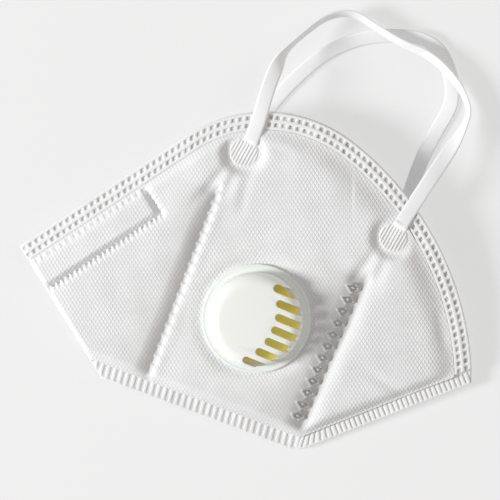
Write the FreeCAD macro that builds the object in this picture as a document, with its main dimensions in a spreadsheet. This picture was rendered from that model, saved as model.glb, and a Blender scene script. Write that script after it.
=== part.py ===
import FreeCAD, Part
import math
import os
import Sketcher

# Disposable dust mask with an exhalation valve, folded flat on its side.
# X runs from nose to chin, Y from the front seam to the open face side, Z up from the floor.
# The shell is six flat facets joined by creases: nose, middle and chin on each side of the fold.
# The valve's axis passes through the origin. All sizes are in millimetres.

SIZES = {
    "mask_length": 160.0,
    "mask_depth": 107.0,
    "crown_radius": 48.5,
    "side_radius": 104.2,
    "outer_layer": 0.5,
    "support_layer": 0.9,
    "filter_layer": 0.5,
    "inner_layer": 0.4,
    "fold_gap": 0.3,
    "ridge_gap": 0.6,
    "chin_gap": 0.9,
    "rest_opening": 6.0,
    "seam_thickness": 1.2,
    "wire_length": 42.0,
    "wire_width": 5.0,
    "wire_thickness": 0.8,
    "wire_inset": 11.7,
    "weld_diameter": 10.0,
    "band_width": 5.0,
    "band_thickness": 0.8,
    "channel_width": 6.4,
    "flange_margin": 11.9,
    "cover_margin": 6.9,
    "cover_height": 8.5,
    "cover_wall": 1.2,
    "cover_shoulder": 4.4,
    "flange_thickness": 1.2,
    "throat_diameter": 25.0,
    "neck_wall": 1.0,
    "lip_height": 1.0,
    "inner_ring_margin": 8.0,
    "inner_ring_thickness": 0.9,
    "flap_margin": 3.4,
    "flap_thickness": 0.5,
    "hinge_offset": 8.4,
    "clamp_width": 3.4,
    "clamp_length": 12.0,
    "clamp_thickness": 1.2,
    "post_diameter": 2.0,
    "post_spacing": 8.0,
    "slot_turn": 23.0,
    "slot_width": 2.6,
    "slot_pitch": 4.4,
    "slot_depth": 6.2,
}
LAYERS = ("outer", "support", "filter", "inner")
EAR_TURN = 60.3

# Flat pattern of one half: share of mask_length, share of mask_depth.
PLAN = {
    "nose": (-0.5023, 0.2243),
    "tip": (-0.3288, -0.1944),
    "front": (0.0850, -0.4262),
    "chin": (0.4538, -0.2093),
    "chin_inner": (0.4546, -0.1657),
    "keel_nose": (-0.3584, -0.1229),
    "keel_chin": (0.0952, -0.3770),
    "split": (0.0719, -0.4213),
    "nose_crease_top": (-0.0606, 0.6343),
    "chin_crease_top": (0.3596, 0.2943),
    "crown_start": (-0.1492, 0.5744),
    "crown_end": (0.2043, 0.5543),
    "front_ear": (-0.0256, 0.5243),
    "rear_ear": (0.2888, 0.2561),
}

# Corners of each facet, anticlockwise, each with the kind of edge that follows it.
FACETS = {
    "middle": (
        ("keel_nose", "keel"),
        ("keel_chin", "crease"),
        ("chin_crease_top", "side"),
        ("crown_end", "crown"),
        ("nose_crease_top", "crease"),
    ),
    "nose": (
        ("keel_nose", "crease"),
        ("nose_crease_top", "crown"),
        ("crown_start", "straight"),
        ("nose", "ridge"),
    ),
    "chin": (
        ("keel_chin", "seam"),
        ("chin_inner", "side"),
        ("chin_crease_top", "crease"),
    ),
}
EDGE_GAPS = {"crease": "Sizes.fold_gap / 2", "ridge": "Sizes.ridge_gap", "seam": "Sizes.chin_gap"}
EDGE_RADII = {"crown": "Sizes.crown_radius", "side": "Sizes.side_radius"}

doc = FreeCAD.newDocument("dust_mask")
sheet = doc.addObject("Spreadsheet::Sheet", "Sizes")
for row, (alias, value) in enumerate(SIZES.items(), start=1):
    sheet.set(f"A{row}", str(value))
    sheet.setAlias(f"A{row}", alias)
doc.recompute()


def number(expression):
    """Value of an expression over the sheet."""
    result = sheet.evalExpression(expression)
    return float(getattr(result, "Value", result))


def size(alias):
    """Value of one size in the sheet."""
    return number(f"Sizes.{alias}")


STACK = " + ".join(f"Sizes.{layer}_layer" for layer in LAYERS)
AXIS_HEIGHT = f"({STACK} + Sizes.fold_gap / 2)"
LEFT_FACE = f"2 * {AXIS_HEIGHT}"
NECK = "(Sizes.throat_diameter + 2 * Sizes.neck_wall)"
COVER = "(Sizes.throat_diameter + Sizes.cover_margin)"
LIP_TOP = f"({LEFT_FACE} + Sizes.flange_thickness + Sizes.lip_height)"
ORIGIN = FreeCAD.Vector(0, 0, 0)
UP = FreeCAD.Vector(0, 0, 1)


# ---- flat pattern -------------------------------------------------------------------------


def plan_expression(name):
    """X and Y of a pattern point, as expressions."""
    share_x, share_y = PLAN[name]
    return f"Sizes.mask_length * {share_x}", f"Sizes.mask_depth * {share_y}"


def plan_point(name, height=0.0):
    """A pattern point as a vector."""
    across, along = plan_expression(name)
    return FreeCAD.Vector(number(across), number(along), height)


def inset_weights(before, corner, after):
    """How far a corner moves for one millimetre of inset on the edge before and the edge after."""
    first = (corner - before).normalize()
    second = (after - corner).normalize()
    normal_first = FreeCAD.Vector(-first.y, first.x, 0)
    normal_second = FreeCAD.Vector(-second.y, second.x, 0)
    area = normal_first.x * normal_second.y - normal_first.y * normal_second.x
    weight_first = FreeCAD.Vector(normal_second.y / area, -normal_second.x / area, 0)
    weight_second = FreeCAD.Vector(-normal_first.y / area, normal_first.x / area, 0)
    return weight_first, weight_second


def facet_corners(corners, gaps):
    """Corner expressions of a facet, each edge set back by its gap."""
    points = [plan_point(name) for name, _ in corners]
    result = []
    for index, (name, kind) in enumerate(corners):
        gap_first = gaps.get(corners[index - 1][1], "0")
        gap_second = gaps.get(kind, "0")
        following = points[(index + 1) % len(points)]
        weight_first, weight_second = inset_weights(points[index - 1], points[index], following)
        across, along = plan_expression(name)
        across += f" + {gap_first} * {weight_first.x:.5f} + {gap_second} * {weight_second.x:.5f}"
        along += f" + {gap_first} * {weight_first.y:.5f} + {gap_second} * {weight_second.y:.5f}"
        radius = EDGE_RADII.get(kind)
        result.append((across, along, (radius, 1) if radius else None))
    return result


# ---- sketches and features ----------------------------------------------------------------


def new_body(label):
    """An empty body."""
    body = doc.addObject("PartDesign::Body", label)
    body.Label = label
    return body


def new_sketch(body, name, height="0", role="XY_Plane"):
    """A sketch on one of the body's own planes, raised by an expression."""
    sketch = body.newObject("Sketcher::SketchObject", f"{body.Name}_{name}")
    plane = next(item for item in body.Origin.OriginFeatures if item.Role == role)
    sketch.AttachmentSupport = [(plane, "")]
    sketch.MapMode = "FlatFace"
    sketch.setExpression("AttachmentOffset.Base.z", height)
    return sketch


def bind(sketch, kind, reference, value):
    """Add one dimension and bind it to an expression."""
    index = sketch.addConstraint(Sketcher.Constraint(kind, *reference, number(value)))
    sketch.setExpression(f"Constraints[{index}]", value)


def add_edge(sketch, start, end, arc):
    """Add a line, or an arc given as (radius expression, 1 anticlockwise or -1 clockwise)."""
    if arc is None:
        sketch.addGeometry(Part.LineSegment(start, end), False)
        return
    radius = number(arc[0])
    chord = end - start
    side = FreeCAD.Vector(-chord.y, chord.x, 0).normalize() * arc[1]
    centre = (start + end) / 2 + side * math.sqrt(radius**2 - (chord.Length / 2) ** 2)
    first, second = (start, end) if arc[1] > 0 else (end, start)
    angles = [math.atan2(point.y - centre.y, point.x - centre.x) for point in (first, second)]
    circle = Part.Circle(centre, UP, radius)
    sketch.addGeometry(Part.ArcOfCircle(circle, angles[0], angles[1]), False)


def draw_outline(sketch, corners):
    """Draw a closed outline; each corner is (x, y, arc that follows it or None)."""
    base = sketch.GeometryCount
    points = [FreeCAD.Vector(number(x), number(y), 0) for x, y, _ in corners]
    count = len(corners)
    for index, (_, _, arc) in enumerate(corners):
        add_edge(sketch, points[index], points[(index + 1) % count], arc)
    starts = [2 if arc and arc[1] < 0 else 1 for _, _, arc in corners]
    for index in range(count):
        following = (index + 1) % count
        ends = (base + index, 3 - starts[index], base + following, starts[following])
        sketch.addConstraint(Sketcher.Constraint("Coincident", *ends))
    for index, (x, y, arc) in enumerate(corners):
        bind(sketch, "DistanceX", (-1, 1, base + index, starts[index]), x)
        bind(sketch, "DistanceY", (-1, 1, base + index, starts[index]), y)
        if arc:
            bind(sketch, "Radius", (base + index,), arc[0])


def draw_circle(sketch, x, y, diameter):
    """Draw a circle."""
    index = sketch.GeometryCount
    centre = FreeCAD.Vector(number(x), number(y), 0)
    sketch.addGeometry(Part.Circle(centre, UP, number(diameter) / 2), False)
    bind(sketch, "DistanceX", (-1, 1, index, 3), x)
    bind(sketch, "DistanceY", (-1, 1, index, 3), y)
    bind(sketch, "Diameter", (index,), diameter)


def draw_rectangle(sketch, x, y, turn, near, far, low, high):
    """Draw a rectangle from near to far along a turned direction, low to high across it."""
    corners = []
    for along, across in ((near, low), (far, low), (far, high), (near, high)):
        corner_x = f"{x} + ({along}) * cos({turn}) - ({across}) * sin({turn})"
        corner_y = f"{y} + ({along}) * sin({turn}) + ({across}) * cos({turn})"
        corners.append((corner_x, corner_y, None))
    draw_outline(sketch, corners)


def draw_cut_disc(sketch, diameter, chord):
    """Draw a disc centred on the body, cut off by a chord on its negative X side."""
    half = f"sqrt(({diameter} / 2)^2 - ({chord})^2)"
    rim = (f"{diameter} / 2", 1)
    corners = [
        (f"-({chord})", f"-{half}", rim),
        (f"{diameter} / 2", "0", rim),
        (f"-({chord})", half, None),
    ]
    draw_outline(sketch, corners)


def add_pad(body, sketch, length, name):
    """Raise a sketch upwards."""
    feature = body.newObject("PartDesign::Pad", f"{body.Name}_{name}")
    feature.Profile = sketch
    feature.setExpression("Length", length)
    body.Tip = feature
    return feature


def add_pocket(body, sketch, length, name):
    """Cut a sketch downwards."""
    feature = body.newObject("PartDesign::Pocket", f"{body.Name}_{name}")
    feature.Profile = sketch
    feature.setExpression("Length", length)
    body.Tip = feature
    return feature


# ---- folds --------------------------------------------------------------------------------


def turn_about(point, direction, degrees):
    """Placement that turns a body about a line."""
    return FreeCAD.Placement(ORIGIN, FreeCAD.Rotation(direction, degrees), point)


def crease_fold(keel_angle, ridge_angle, opening):
    """Fold of a crease, for the opening between the halves and the angles on its two sides."""
    sine = math.sin(math.radians(opening) / 2)
    keel, ridge = math.radians(keel_angle), math.radians(ridge_angle)
    product_cos = math.cos(keel) * math.cos(ridge)
    product_sin = math.sin(keel) * math.sin(ridge)
    square = (sine * product_sin) ** 2 - math.sin(ridge) ** 2
    linear = -2 * sine**2 * product_cos * product_sin
    constant = math.sin(ridge) ** 2 - sine**2 + (sine * product_cos) ** 2
    root = math.sqrt(linear**2 - 4 * square * constant)
    cosine = max((-linear + root) / (2 * square), (-linear - root) / (2 * square))
    return math.degrees(math.acos(min(1.0, cosine)))


AXIS_Z = number(AXIS_HEIGHT)
KEEL_NOSE = plan_point("keel_nose", AXIS_Z)
KEEL_CHIN = plan_point("keel_chin", AXIS_Z)
KEEL = KEEL_CHIN - KEEL_NOSE
NOSE_CREASE = plan_point("nose_crease_top", AXIS_Z) - KEEL_NOSE
CHIN_CREASE = KEEL_CHIN - plan_point("chin_crease_top", AXIS_Z)
NOSE_RIDGE = plan_point("nose", AXIS_Z) - KEEL_NOSE
CHIN_RIDGE = plan_point("chin_inner", AXIS_Z) - KEEL_CHIN


def rest_fold(keel_side, crease, ridge):
    """Fold of a crease at rest."""
    angles = [math.degrees(keel_side.getAngle(crease)), math.degrees(crease.getAngle(ridge))]
    return crease_fold(*angles, size("rest_opening"))


NOSE_FOLD = rest_fold(KEEL, NOSE_CREASE, NOSE_RIDGE)
CHIN_FOLD = rest_fold(-KEEL, -CHIN_CREASE, CHIN_RIDGE)

right_nose_place = turn_about(KEEL_NOSE, NOSE_CREASE, NOSE_FOLD)
right_chin_place = turn_about(KEEL_CHIN, CHIN_CREASE, CHIN_FOLD)
left_place = turn_about(KEEL_NOSE, KEEL, size("rest_opening"))
PLACES = {
    ("right", "middle"): FreeCAD.Placement(),
    ("right", "nose"): right_nose_place,
    ("right", "chin"): right_chin_place,
    ("left", "middle"): left_place,
    ("left", "nose"): left_place * turn_about(KEEL_NOSE, NOSE_CREASE, -NOSE_FOLD),
    ("left", "chin"): left_place * turn_about(KEEL_CHIN, CHIN_CREASE, -CHIN_FOLD),
}


def layer_span(side, layer):
    """Bottom of a layer and its thickness, as expressions."""
    outside = LAYERS[: LAYERS.index(layer)]
    depth = " + ".join(["0"] + [f"Sizes.{name}_layer" for name in outside])
    thickness = f"Sizes.{layer}_layer"
    if side == "right":
        return f"({depth})", thickness
    return f"({LEFT_FACE} - ({depth}) - {thickness})", thickness


# ---- mask shell ---------------------------------------------------------------------------


def cut_ear_recess(body, bottom, thickness):
    """Cut the two round ear welds and the channels their bands run out through."""
    top = f"{bottom} + {thickness}"
    rounds = new_sketch(body, "weld_outline", top)
    channels = new_sketch(body, "channel_outline", top)
    for ear in ("front_ear", "rear_ear"):
        x, y = plan_expression(ear)
        draw_circle(rounds, x, y, "Sizes.weld_diameter")
        half = "Sizes.channel_width / 2"
        draw_rectangle(channels, x, y, str(EAR_TURN), "0", "Sizes.weld_diameter * 2.5", f"-{half}", half)
    add_pocket(body, rounds, thickness, "weld_recess")
    add_pocket(body, channels, thickness, "band_channel")


def nose_edge_turn():
    """Direction of the straight nose edge in degrees."""
    edge = plan_point("crown_start") - plan_point("nose")
    return math.degrees(math.atan2(edge.y, edge.x))


def draw_wire_outline(sketch, clearance):
    """Draw the nose wire's rectangle, grown by a clearance."""
    x, y = plan_expression("nose")
    near = f"Sizes.ridge_gap * 3 + 1 - {clearance}"
    far = f"Sizes.ridge_gap * 3 + 1 + Sizes.wire_length + {clearance}"
    middle = "-Sizes.wire_inset"
    half = f"Sizes.wire_width / 2 + {clearance}"
    turn = f"{nose_edge_turn():.5f}"
    draw_rectangle(sketch, x, y, turn, near, far, f"{middle} - ({half})", f"{middle} + {half}")


def make_layer(side, facet, layer):
    """One layer of one facet."""
    body = new_body(f"{side}_{facet}_{layer}")
    bottom, thickness = layer_span(side, layer)
    gaps = dict(EDGE_GAPS)
    if side == "right":
        gaps["seam"] = "0"
    outline = new_sketch(body, "outline", bottom)
    draw_outline(outline, facet_corners(FACETS[facet], gaps))
    add_pad(body, outline, thickness, "sheet")
    top = f"{bottom} + {thickness}"
    if facet == "middle" and layer in ("outer", "support"):
        cut_ear_recess(body, bottom, thickness)
    if facet == "nose" and layer == "support":
        slot = new_sketch(body, "wire_slot_outline", top)
        draw_wire_outline(slot, "0.2")
        add_pocket(body, slot, thickness, "wire_slot")
    if (side, facet) == ("left", "middle"):
        hole = new_sketch(body, "valve_hole_outline", top)
        draw_circle(hole, "0", "0", f"{NECK} + 0.2")
        add_pocket(body, hole, thickness, "valve_hole")
    body.Placement = PLACES[(side, facet)]


def make_nose_wire(side):
    """One arm of the nose wire, in the slot of the support layer."""
    body = new_body(f"{side}_nose_wire")
    bottom, thickness = layer_span(side, "support")
    rest = bottom if side == "left" else f"({bottom} + {thickness} - Sizes.wire_thickness)"
    outline = new_sketch(body, "outline", rest)
    draw_wire_outline(outline, "0")
    add_pad(body, outline, "Sizes.wire_thickness", "strip")
    body.Placement = PLACES[(side, "nose")]


def make_seam(label, corners, place):
    """A welded seam band, its top level with the right half's inner face."""
    body = new_body(label)
    outline = new_sketch(body, "outline", f"{STACK} - Sizes.seam_thickness")
    draw_outline(outline, facet_corners(corners, {"crease": "Sizes.fold_gap / 2"}))
    add_pad(body, outline, "Sizes.seam_thickness", "band")
    body.Placement = place


def make_ear_weld(side, ear):
    """A fused disc that holds the end of an ear loop, level with the outer face."""
    body = new_body(f"{side}_{ear}_weld")
    thickness = "(Sizes.outer_layer + Sizes.support_layer)"
    bottom = "0" if side == "right" else f"{LEFT_FACE} - {thickness}"
    x, y = plan_expression(ear)
    outline = new_sketch(body, "outline", bottom)
    draw_circle(outline, x, y, "Sizes.weld_diameter")
    add_pad(body, outline, thickness, "disc")
    body.Placement = PLACES[(side, "middle")]


# ---- valve --------------------------------------------------------------------------------

valve_place = left_place * FreeCAD.Placement(ORIGIN, FreeCAD.Rotation(UP, -size("slot_turn")))


def draw_posts(sketch, diameter):
    """Draw the two clamp posts or the holes for them."""
    for sign in ("-", ""):
        draw_circle(sketch, f"-({CLAMP_MIDDLE})", f"{sign}Sizes.post_spacing / 2", diameter)


CLAMP_MIDDLE = "Sizes.hinge_offset + 0.5 + Sizes.clamp_width / 2"


def make_valve_seat():
    """Flange, neck, seal lip, bridge under the flap's root, spokes and clamp posts."""
    body = new_body("valve_seat")
    bottom = f"({AXIS_HEIGHT} + Sizes.fold_gap / 2 - Sizes.inner_ring_thickness)"
    flange = new_sketch(body, "flange_outline", LEFT_FACE)
    draw_circle(flange, "0", "0", "Sizes.throat_diameter + Sizes.flange_margin")
    add_pad(body, flange, "Sizes.flange_thickness", "flange")
    tube = new_sketch(body, "neck_outline", bottom)
    draw_circle(tube, "0", "0", NECK)
    add_pad(body, tube, f"{LIP_TOP} - {bottom}", "neck")
    throat = new_sketch(body, "throat_outline", LIP_TOP)
    draw_cut_disc(throat, "Sizes.throat_diameter", "Sizes.hinge_offset + 0.1")
    add_pocket(body, throat, f"{LIP_TOP} - {bottom}", "throat")
    for index, offset in enumerate((-6.0, 0.0, 6.0)):
        spoke = new_sketch(body, f"spoke_outline_{index}", LEFT_FACE)
        reach = f"sqrt((Sizes.throat_diameter / 2)^2 - ({abs(offset) + 0.6})^2) + 0.5"
        near = "-(Sizes.hinge_offset + 0.5)"
        draw_rectangle(spoke, "0", "0", "0", near, reach, f"{offset - 0.6}", f"{offset + 0.6}")
        add_pad(body, spoke, "Sizes.flange_thickness", f"spoke_{index}")
    posts = new_sketch(body, "post_outline", LIP_TOP)
    draw_posts(posts, "Sizes.post_diameter")
    add_pad(body, posts, "Sizes.flap_thickness + Sizes.clamp_thickness", "posts")
    body.Placement = valve_place


def make_valve_ring():
    """Retaining ring on the inside of the mask."""
    body = new_body("valve_inner_ring")
    bottom = f"{AXIS_HEIGHT} + Sizes.fold_gap / 2 - Sizes.inner_ring_thickness"
    outline = new_sketch(body, "outline", bottom)
    draw_circle(outline, "0", "0", "Sizes.throat_diameter + Sizes.inner_ring_margin")
    draw_circle(outline, "0", "0", NECK)
    add_pad(body, outline, "Sizes.inner_ring_thickness", "ring")
    body.Placement = valve_place


def make_clamped_strip(label, bottom, thickness):
    """A strip over the bridge, with two holes for the posts."""
    body = new_body(label)
    outline = new_sketch(body, "outline", bottom)
    near = "-(Sizes.hinge_offset + 0.5 + Sizes.clamp_width)"
    half = "Sizes.clamp_length / 2"
    draw_rectangle(outline, "0", "0", "0", near, "-(Sizes.hinge_offset + 0.5)", f"-{half}", half)
    draw_posts(outline, "Sizes.post_diameter")
    add_pad(body, outline, thickness, "strip")
    body.Placement = valve_place


def make_valve_flap():
    """The free part of the flap, over the seal lip."""
    body = new_body("valve_flap")
    outline = new_sketch(body, "outline", f"{LIP_TOP} + 0.1")
    draw_cut_disc(outline, "(Sizes.throat_diameter + Sizes.flap_margin)", "Sizes.hinge_offset")
    add_pad(body, outline, "Sizes.flap_thickness", "disc")
    body.Placement = valve_place


def make_valve_cover():
    """Round cover with a rounded shoulder and seven slots on one side."""
    body = new_body("valve_cover")
    base = f"({LEFT_FACE} + Sizes.flange_thickness)"
    top = f"({base} + Sizes.cover_height)"
    outer = f"{COVER} / 2"
    inner = f"({outer} - Sizes.cover_wall)"
    shoulder = f"({outer} - Sizes.cover_shoulder)"
    profile = new_sketch(body, "profile", role="XZ_Plane")
    corners = [
        (inner, base, None),
        (outer, base, None),
        (outer, f"{top} - Sizes.cover_shoulder", ("Sizes.cover_shoulder", 1)),
        (shoulder, top, None),
        ("0", top, None),
        ("0", f"{top} - Sizes.cover_wall", None),
        (shoulder, f"{top} - Sizes.cover_wall", ("Sizes.cover_shoulder - Sizes.cover_wall", -1)),
        (inner, f"{top} - Sizes.cover_shoulder", None),
    ]
    draw_outline(profile, corners)
    shell = body.newObject("PartDesign::Revolution", "valve_cover_shell")
    shell.Profile = profile
    shell.ReferenceAxis = (profile, ["V_Axis"])
    shell.Angle = 360.0
    body.Tip = shell
    slots = new_sketch(body, "slot_outline", top)
    for index in range(-3, 4):
        middle = f"Sizes.slot_pitch * {index} - 0.8"
        reach = f"sqrt(20.4^2 - ({middle})^2) - 14.5"
        low, high = f"{middle} - Sizes.slot_width / 2", f"{middle} + Sizes.slot_width / 2"
        draw_rectangle(slots, "0", "0", "0", reach, f"{COVER} / 2 + 2", low, high)
    add_pocket(body, slots, "Sizes.slot_depth", "slots")
    body.Placement = valve_place


# ---- ear loops ----------------------------------------------------------------------------

BAND_START = 0.3
# Corners of each loop between its two straight ends: share of length, share of depth, height.
LOOP_CORNERS = {
    "left": (
        (0.0656, 0.8411, 10.5),
        (0.1625, 0.9626, 5.0),
        (0.2875, 0.9019, 2.8),
        (0.3938, 0.8131, 2.6),
        (0.4469, 0.6589, 4.2),
        (0.4094, 0.5140, 8.4),
    ),
    "right": (
        (0.1094, 0.8037, 0.4),
        (0.2188, 0.8879, 0.4),
        (0.3375, 0.9019, 0.4),
        (0.4156, 0.7850, 0.4),
        (0.3906, 0.6215, 0.4),
        (0.3656, 0.5093, 0.4),
    ),
}
# Length of the straight end at the front ear and at the rear ear.
LOOP_ENDS = {"left": (14.4, 12.4), "right": (14.4, 11.4)}


def ear_points(side, ear, distance, edge=False):
    """A point on the band's line out of an ear weld, on its middle or its outer edge."""
    lift = 0.0 if edge else size("band_thickness") / 2
    height = lift if side == "right" else number(LEFT_FACE) - lift
    centre = plan_point(ear, height)
    turn = math.radians(EAR_TURN)
    step = FreeCAD.Vector(math.cos(turn), math.sin(turn), 0) * distance
    return PLACES[(side, "middle")].multVec(centre + step)


def loop_points(side):
    """Corner points of an ear loop's middle line."""
    start = size("weld_diameter") / 2 + BAND_START
    front, rear = LOOP_ENDS[side]
    points = [ear_points(side, "front_ear", start), ear_points(side, "front_ear", start + front)]
    for share_x, share_y, height in LOOP_CORNERS[side]:
        across = size("mask_length") * share_x
        along = size("mask_depth") * share_y
        points.append(FreeCAD.Vector(across, along, height))
    points.append(ear_points(side, "rear_ear", start + rear))
    points.append(ear_points(side, "rear_ear", start))
    return points


def rounded_wire(points):
    """Straight runs joined by tangent arcs; returns the wire and the arcs' radii."""
    edges = []
    radii = []
    cursor = points[0]
    for before, corner, after in zip(points, points[1:], points[2:]):
        back, ahead = before - corner, after - corner
        tangent = 0.45 * min(back.Length, ahead.Length)
        half_turn = (math.pi - back.getAngle(ahead)) / 2
        radius = tangent / math.tan(half_turn)
        enter = corner + back.normalize() * tangent
        leave = corner + ahead.normalize() * tangent
        inward = (back + ahead).normalize()
        middle = corner + inward * (radius / math.cos(half_turn) - radius)
        edges.append(Part.makeLine(cursor, enter))
        edges.append(Part.Arc(enter, middle, leave).toShape())
        radii.append(radius)
        cursor = leave
    edges.append(Part.makeLine(cursor, points[-1]))
    return Part.Wire(edges), radii


def make_ear_loop(side):
    """One flat elastic band, free between its two welds."""
    wire, radii = rounded_wire(loop_points(side))
    start = wire.Edges[0].valueAt(wire.Edges[0].FirstParameter)
    along = wire.Edges[0].tangentAt(wire.Edges[0].FirstParameter)
    across = UP.cross(along).normalize() * size("band_width") / 2
    over = along.cross(across).normalize() * size("band_thickness") / 2
    corners = [start + across + over, start - across + over, start - across - over]
    corners.append(start + across - over)
    section = Part.makePolygon(corners + corners[:1])
    sweep = Part.BRepOffsetAPI.MakePipeShell(wire)
    sweep.setBiNormalMode(UP)
    sweep.add(section)
    sweep.build()
    sweep.makeSolid()
    feature = doc.addObject("Part::Feature", f"{side}_ear_loop")
    feature.Label = f"{side}_ear_loop"
    feature.Shape = sweep.shape()
    feature.Placement = FreeCAD.Placement()
    expected = wire.Length * size("band_width") * size("band_thickness")
    print(f"{side}_ear_loop length {wire.Length:.1f} radii", [round(r, 1) for r in radii])
    print(f"{side}_ear_loop volume share {feature.Shape.Volume / expected:.3f}")


# ---- build --------------------------------------------------------------------------------

for side in ("right", "left"):
    for facet in FACETS:
        for layer in LAYERS:
            make_layer(side, facet, layer)
    make_nose_wire(side)
    for ear in ("front_ear", "rear_ear"):
        make_ear_weld(side, ear)
    make_ear_loop(side)
FRONT_BAND = (("tip", "edge"), ("split", "crease"), ("keel_chin", "keel"), ("keel_nose", "end"))
CHIN_BAND = (
    ("split", "edge"),
    ("front", "edge"),
    ("chin", "end"),
    ("chin_inner", "keel"),
    ("keel_chin", "crease"),
)
make_seam("front_seam", FRONT_BAND, PLACES[("right", "middle")])
make_seam("chin_seam", CHIN_BAND, PLACES[("right", "chin")])
make_valve_seat()
make_valve_ring()
make_clamped_strip("flap_root", LIP_TOP, "Sizes.flap_thickness")
make_clamped_strip("flap_clamp", f"{LIP_TOP} + Sizes.flap_thickness", "Sizes.clamp_thickness")
make_valve_flap()
make_valve_cover()
doc.recompute()


def check_document():
    """Stop on any failed object, and on any pocket that cuts nothing."""
    for item in doc.Objects:
        if "Invalid" in item.State or "Error" in item.State:
            raise RuntimeError(f"{item.Name} failed: {item.State}")
        if item.TypeId == "PartDesign::Pocket":
            before = item.BaseFeature.Shape.Volume
            if item.Shape.Volume > before - 0.01:
                raise RuntimeError(f"{item.Name} cuts nothing")


def parts_to_export():
    """Every body and feature that is a part of its own."""
    kinds = ("PartDesign::Body", "Part::Feature")
    return [item for item in doc.Objects if item.TypeId in kinds]


def line_text(name, point, direction):
    """One joint line of the printed table."""
    start = [round(value / 1000, 6) for value in point]
    along = [round(value, 6) for value in FreeCAD.Vector(direction).normalize()]
    return f"JOINT {name} {start} {along}"


def print_joints():
    """Print the joints' lines and the fold ratios."""
    turn = left_place.Rotation
    lip = number(f"{LIP_TOP} + 0.1 + Sizes.flap_thickness")
    hinge = valve_place.multVec(FreeCAD.Vector(-size("hinge_offset"), 0, lip))
    print(line_text("unfold", KEEL_NOSE, KEEL))
    print(line_text("right_nose_crease", KEEL_NOSE, NOSE_CREASE))
    print(line_text("right_chin_crease", KEEL_CHIN, CHIN_CREASE))
    print(line_text("left_nose_crease", left_place.multVec(KEEL_NOSE), -turn.multVec(NOSE_CREASE)))
    print(line_text("left_chin_crease", left_place.multVec(KEEL_CHIN), -turn.multVec(CHIN_CREASE)))
    print(line_text("flap_lift", hinge, valve_place.Rotation.multVec(FreeCAD.Vector(0, -1, 0))))
    start = size("weld_diameter") / 2 + BAND_START
    for side, sign in (("left", 1), ("right", -1)):
        front = ear_points(side, "front_ear", start, edge=True)
        rear = ear_points(side, "rear_ear", start, edge=True)
        print(line_text(f"{side}_loop_swing", front, (front - rear) * -sign))
    print(f"rest folds: nose {NOSE_FOLD:.3f} chin {CHIN_FOLD:.3f}")


check_document()
os.makedirs("parts", exist_ok=True)
for item in parts_to_export():
    if item.Shape.isNull() or not item.Shape.isValid():
        raise RuntimeError(f"{item.Label} has no valid shape")
    item.Shape.exportStep(f"parts/{item.Label}.step")
print_joints()
print("parts:", len(parts_to_export()))
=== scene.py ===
"""Looks of a flat-folded dust mask with an exhalation valve and two ear loops.

All sizes are in millimetres on the mask's flat pattern, and become metres in the
frame at the very end.  The pattern's origin lies under the valve's axis.
"""

import logging
import math
from dataclasses import dataclass, field, replace
from enum import Enum
from typing import Callable, Dict, List, Optional, Sequence, Tuple, Union

import bpy
import bmesh
import numpy as np
from mathutils import Matrix, Vector


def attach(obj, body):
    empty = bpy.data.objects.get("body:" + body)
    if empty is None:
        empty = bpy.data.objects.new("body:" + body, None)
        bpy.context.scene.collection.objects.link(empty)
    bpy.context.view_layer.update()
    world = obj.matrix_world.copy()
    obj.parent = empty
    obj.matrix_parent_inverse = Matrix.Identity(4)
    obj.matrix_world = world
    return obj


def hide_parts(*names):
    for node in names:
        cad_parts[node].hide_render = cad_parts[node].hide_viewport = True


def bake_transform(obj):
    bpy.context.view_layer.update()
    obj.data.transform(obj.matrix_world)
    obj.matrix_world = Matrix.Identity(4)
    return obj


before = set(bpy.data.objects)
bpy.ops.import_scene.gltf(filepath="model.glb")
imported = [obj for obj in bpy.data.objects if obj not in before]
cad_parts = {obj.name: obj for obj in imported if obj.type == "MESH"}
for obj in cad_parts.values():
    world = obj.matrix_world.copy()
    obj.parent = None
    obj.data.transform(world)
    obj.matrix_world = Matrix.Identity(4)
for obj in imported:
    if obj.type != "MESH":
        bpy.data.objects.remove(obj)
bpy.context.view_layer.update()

logging.basicConfig(level=logging.INFO, format="%(message)s")
LOG = logging.getLogger("dust_mask")

MM = 0.001
Array = np.ndarray
Point2 = Tuple[float, float]
Point3 = Tuple[float, float, float]


# --------------------------------------------------------------------------
# The flat pattern
# --------------------------------------------------------------------------


@dataclass(frozen=True)
class Pattern:
    """Corners and folds of one half of the mask, in the flat pattern."""

    nose_tip: Point2 = (-80.36, 24.0)
    seam_front: Point2 = (-57.34, -13.15)
    seam_bottom: Point2 = (15.23, -40.34)
    seam_rear: Point2 = (72.73, -17.73)
    hem_front: Point2 = (-52.6, -20.8)
    hem_bottom: Point2 = (13.6, -45.6)
    hem_rear: Point2 = (72.6, -22.4)
    nose_end: Point2 = (-23.87, 61.46)
    crown_centre: Point2 = (2.91, 21.08)
    crown_radius: float = 48.46
    side_centre: Point2 = (-31.34, -22.9)
    side_radius: float = 104.2
    shoulder: Point2 = (32.69, 59.31)
    nose_crease_top: Point2 = (-9.7, 67.87)
    chin_crease_top: Point2 = (57.54, 31.49)
    rib_top: Point2 = (-13.8, 41.2)
    rib_bottom: Point2 = (-36.9, -19.6)
    marks_top: Point2 = (34.4, 12.6)
    marks_bottom: Point2 = (13.9, -35.4)
    front_weld: Point2 = (-4.1, 56.1)
    rear_weld: Point2 = (46.2, 27.4)
    plane: float = 2.45
    opening: float = 6.0
    nose_fold: float = 2.074
    chin_fold: float = 3.263
    nose_edge: float = 67.8
    hem_band: float = 6.0


PATTERN = Pattern()


def unit(start: Point2, end: Point2) -> Array:
    """Direction from start to end."""
    run = np.subtract(end, start)
    return run / np.linalg.norm(run)


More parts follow.
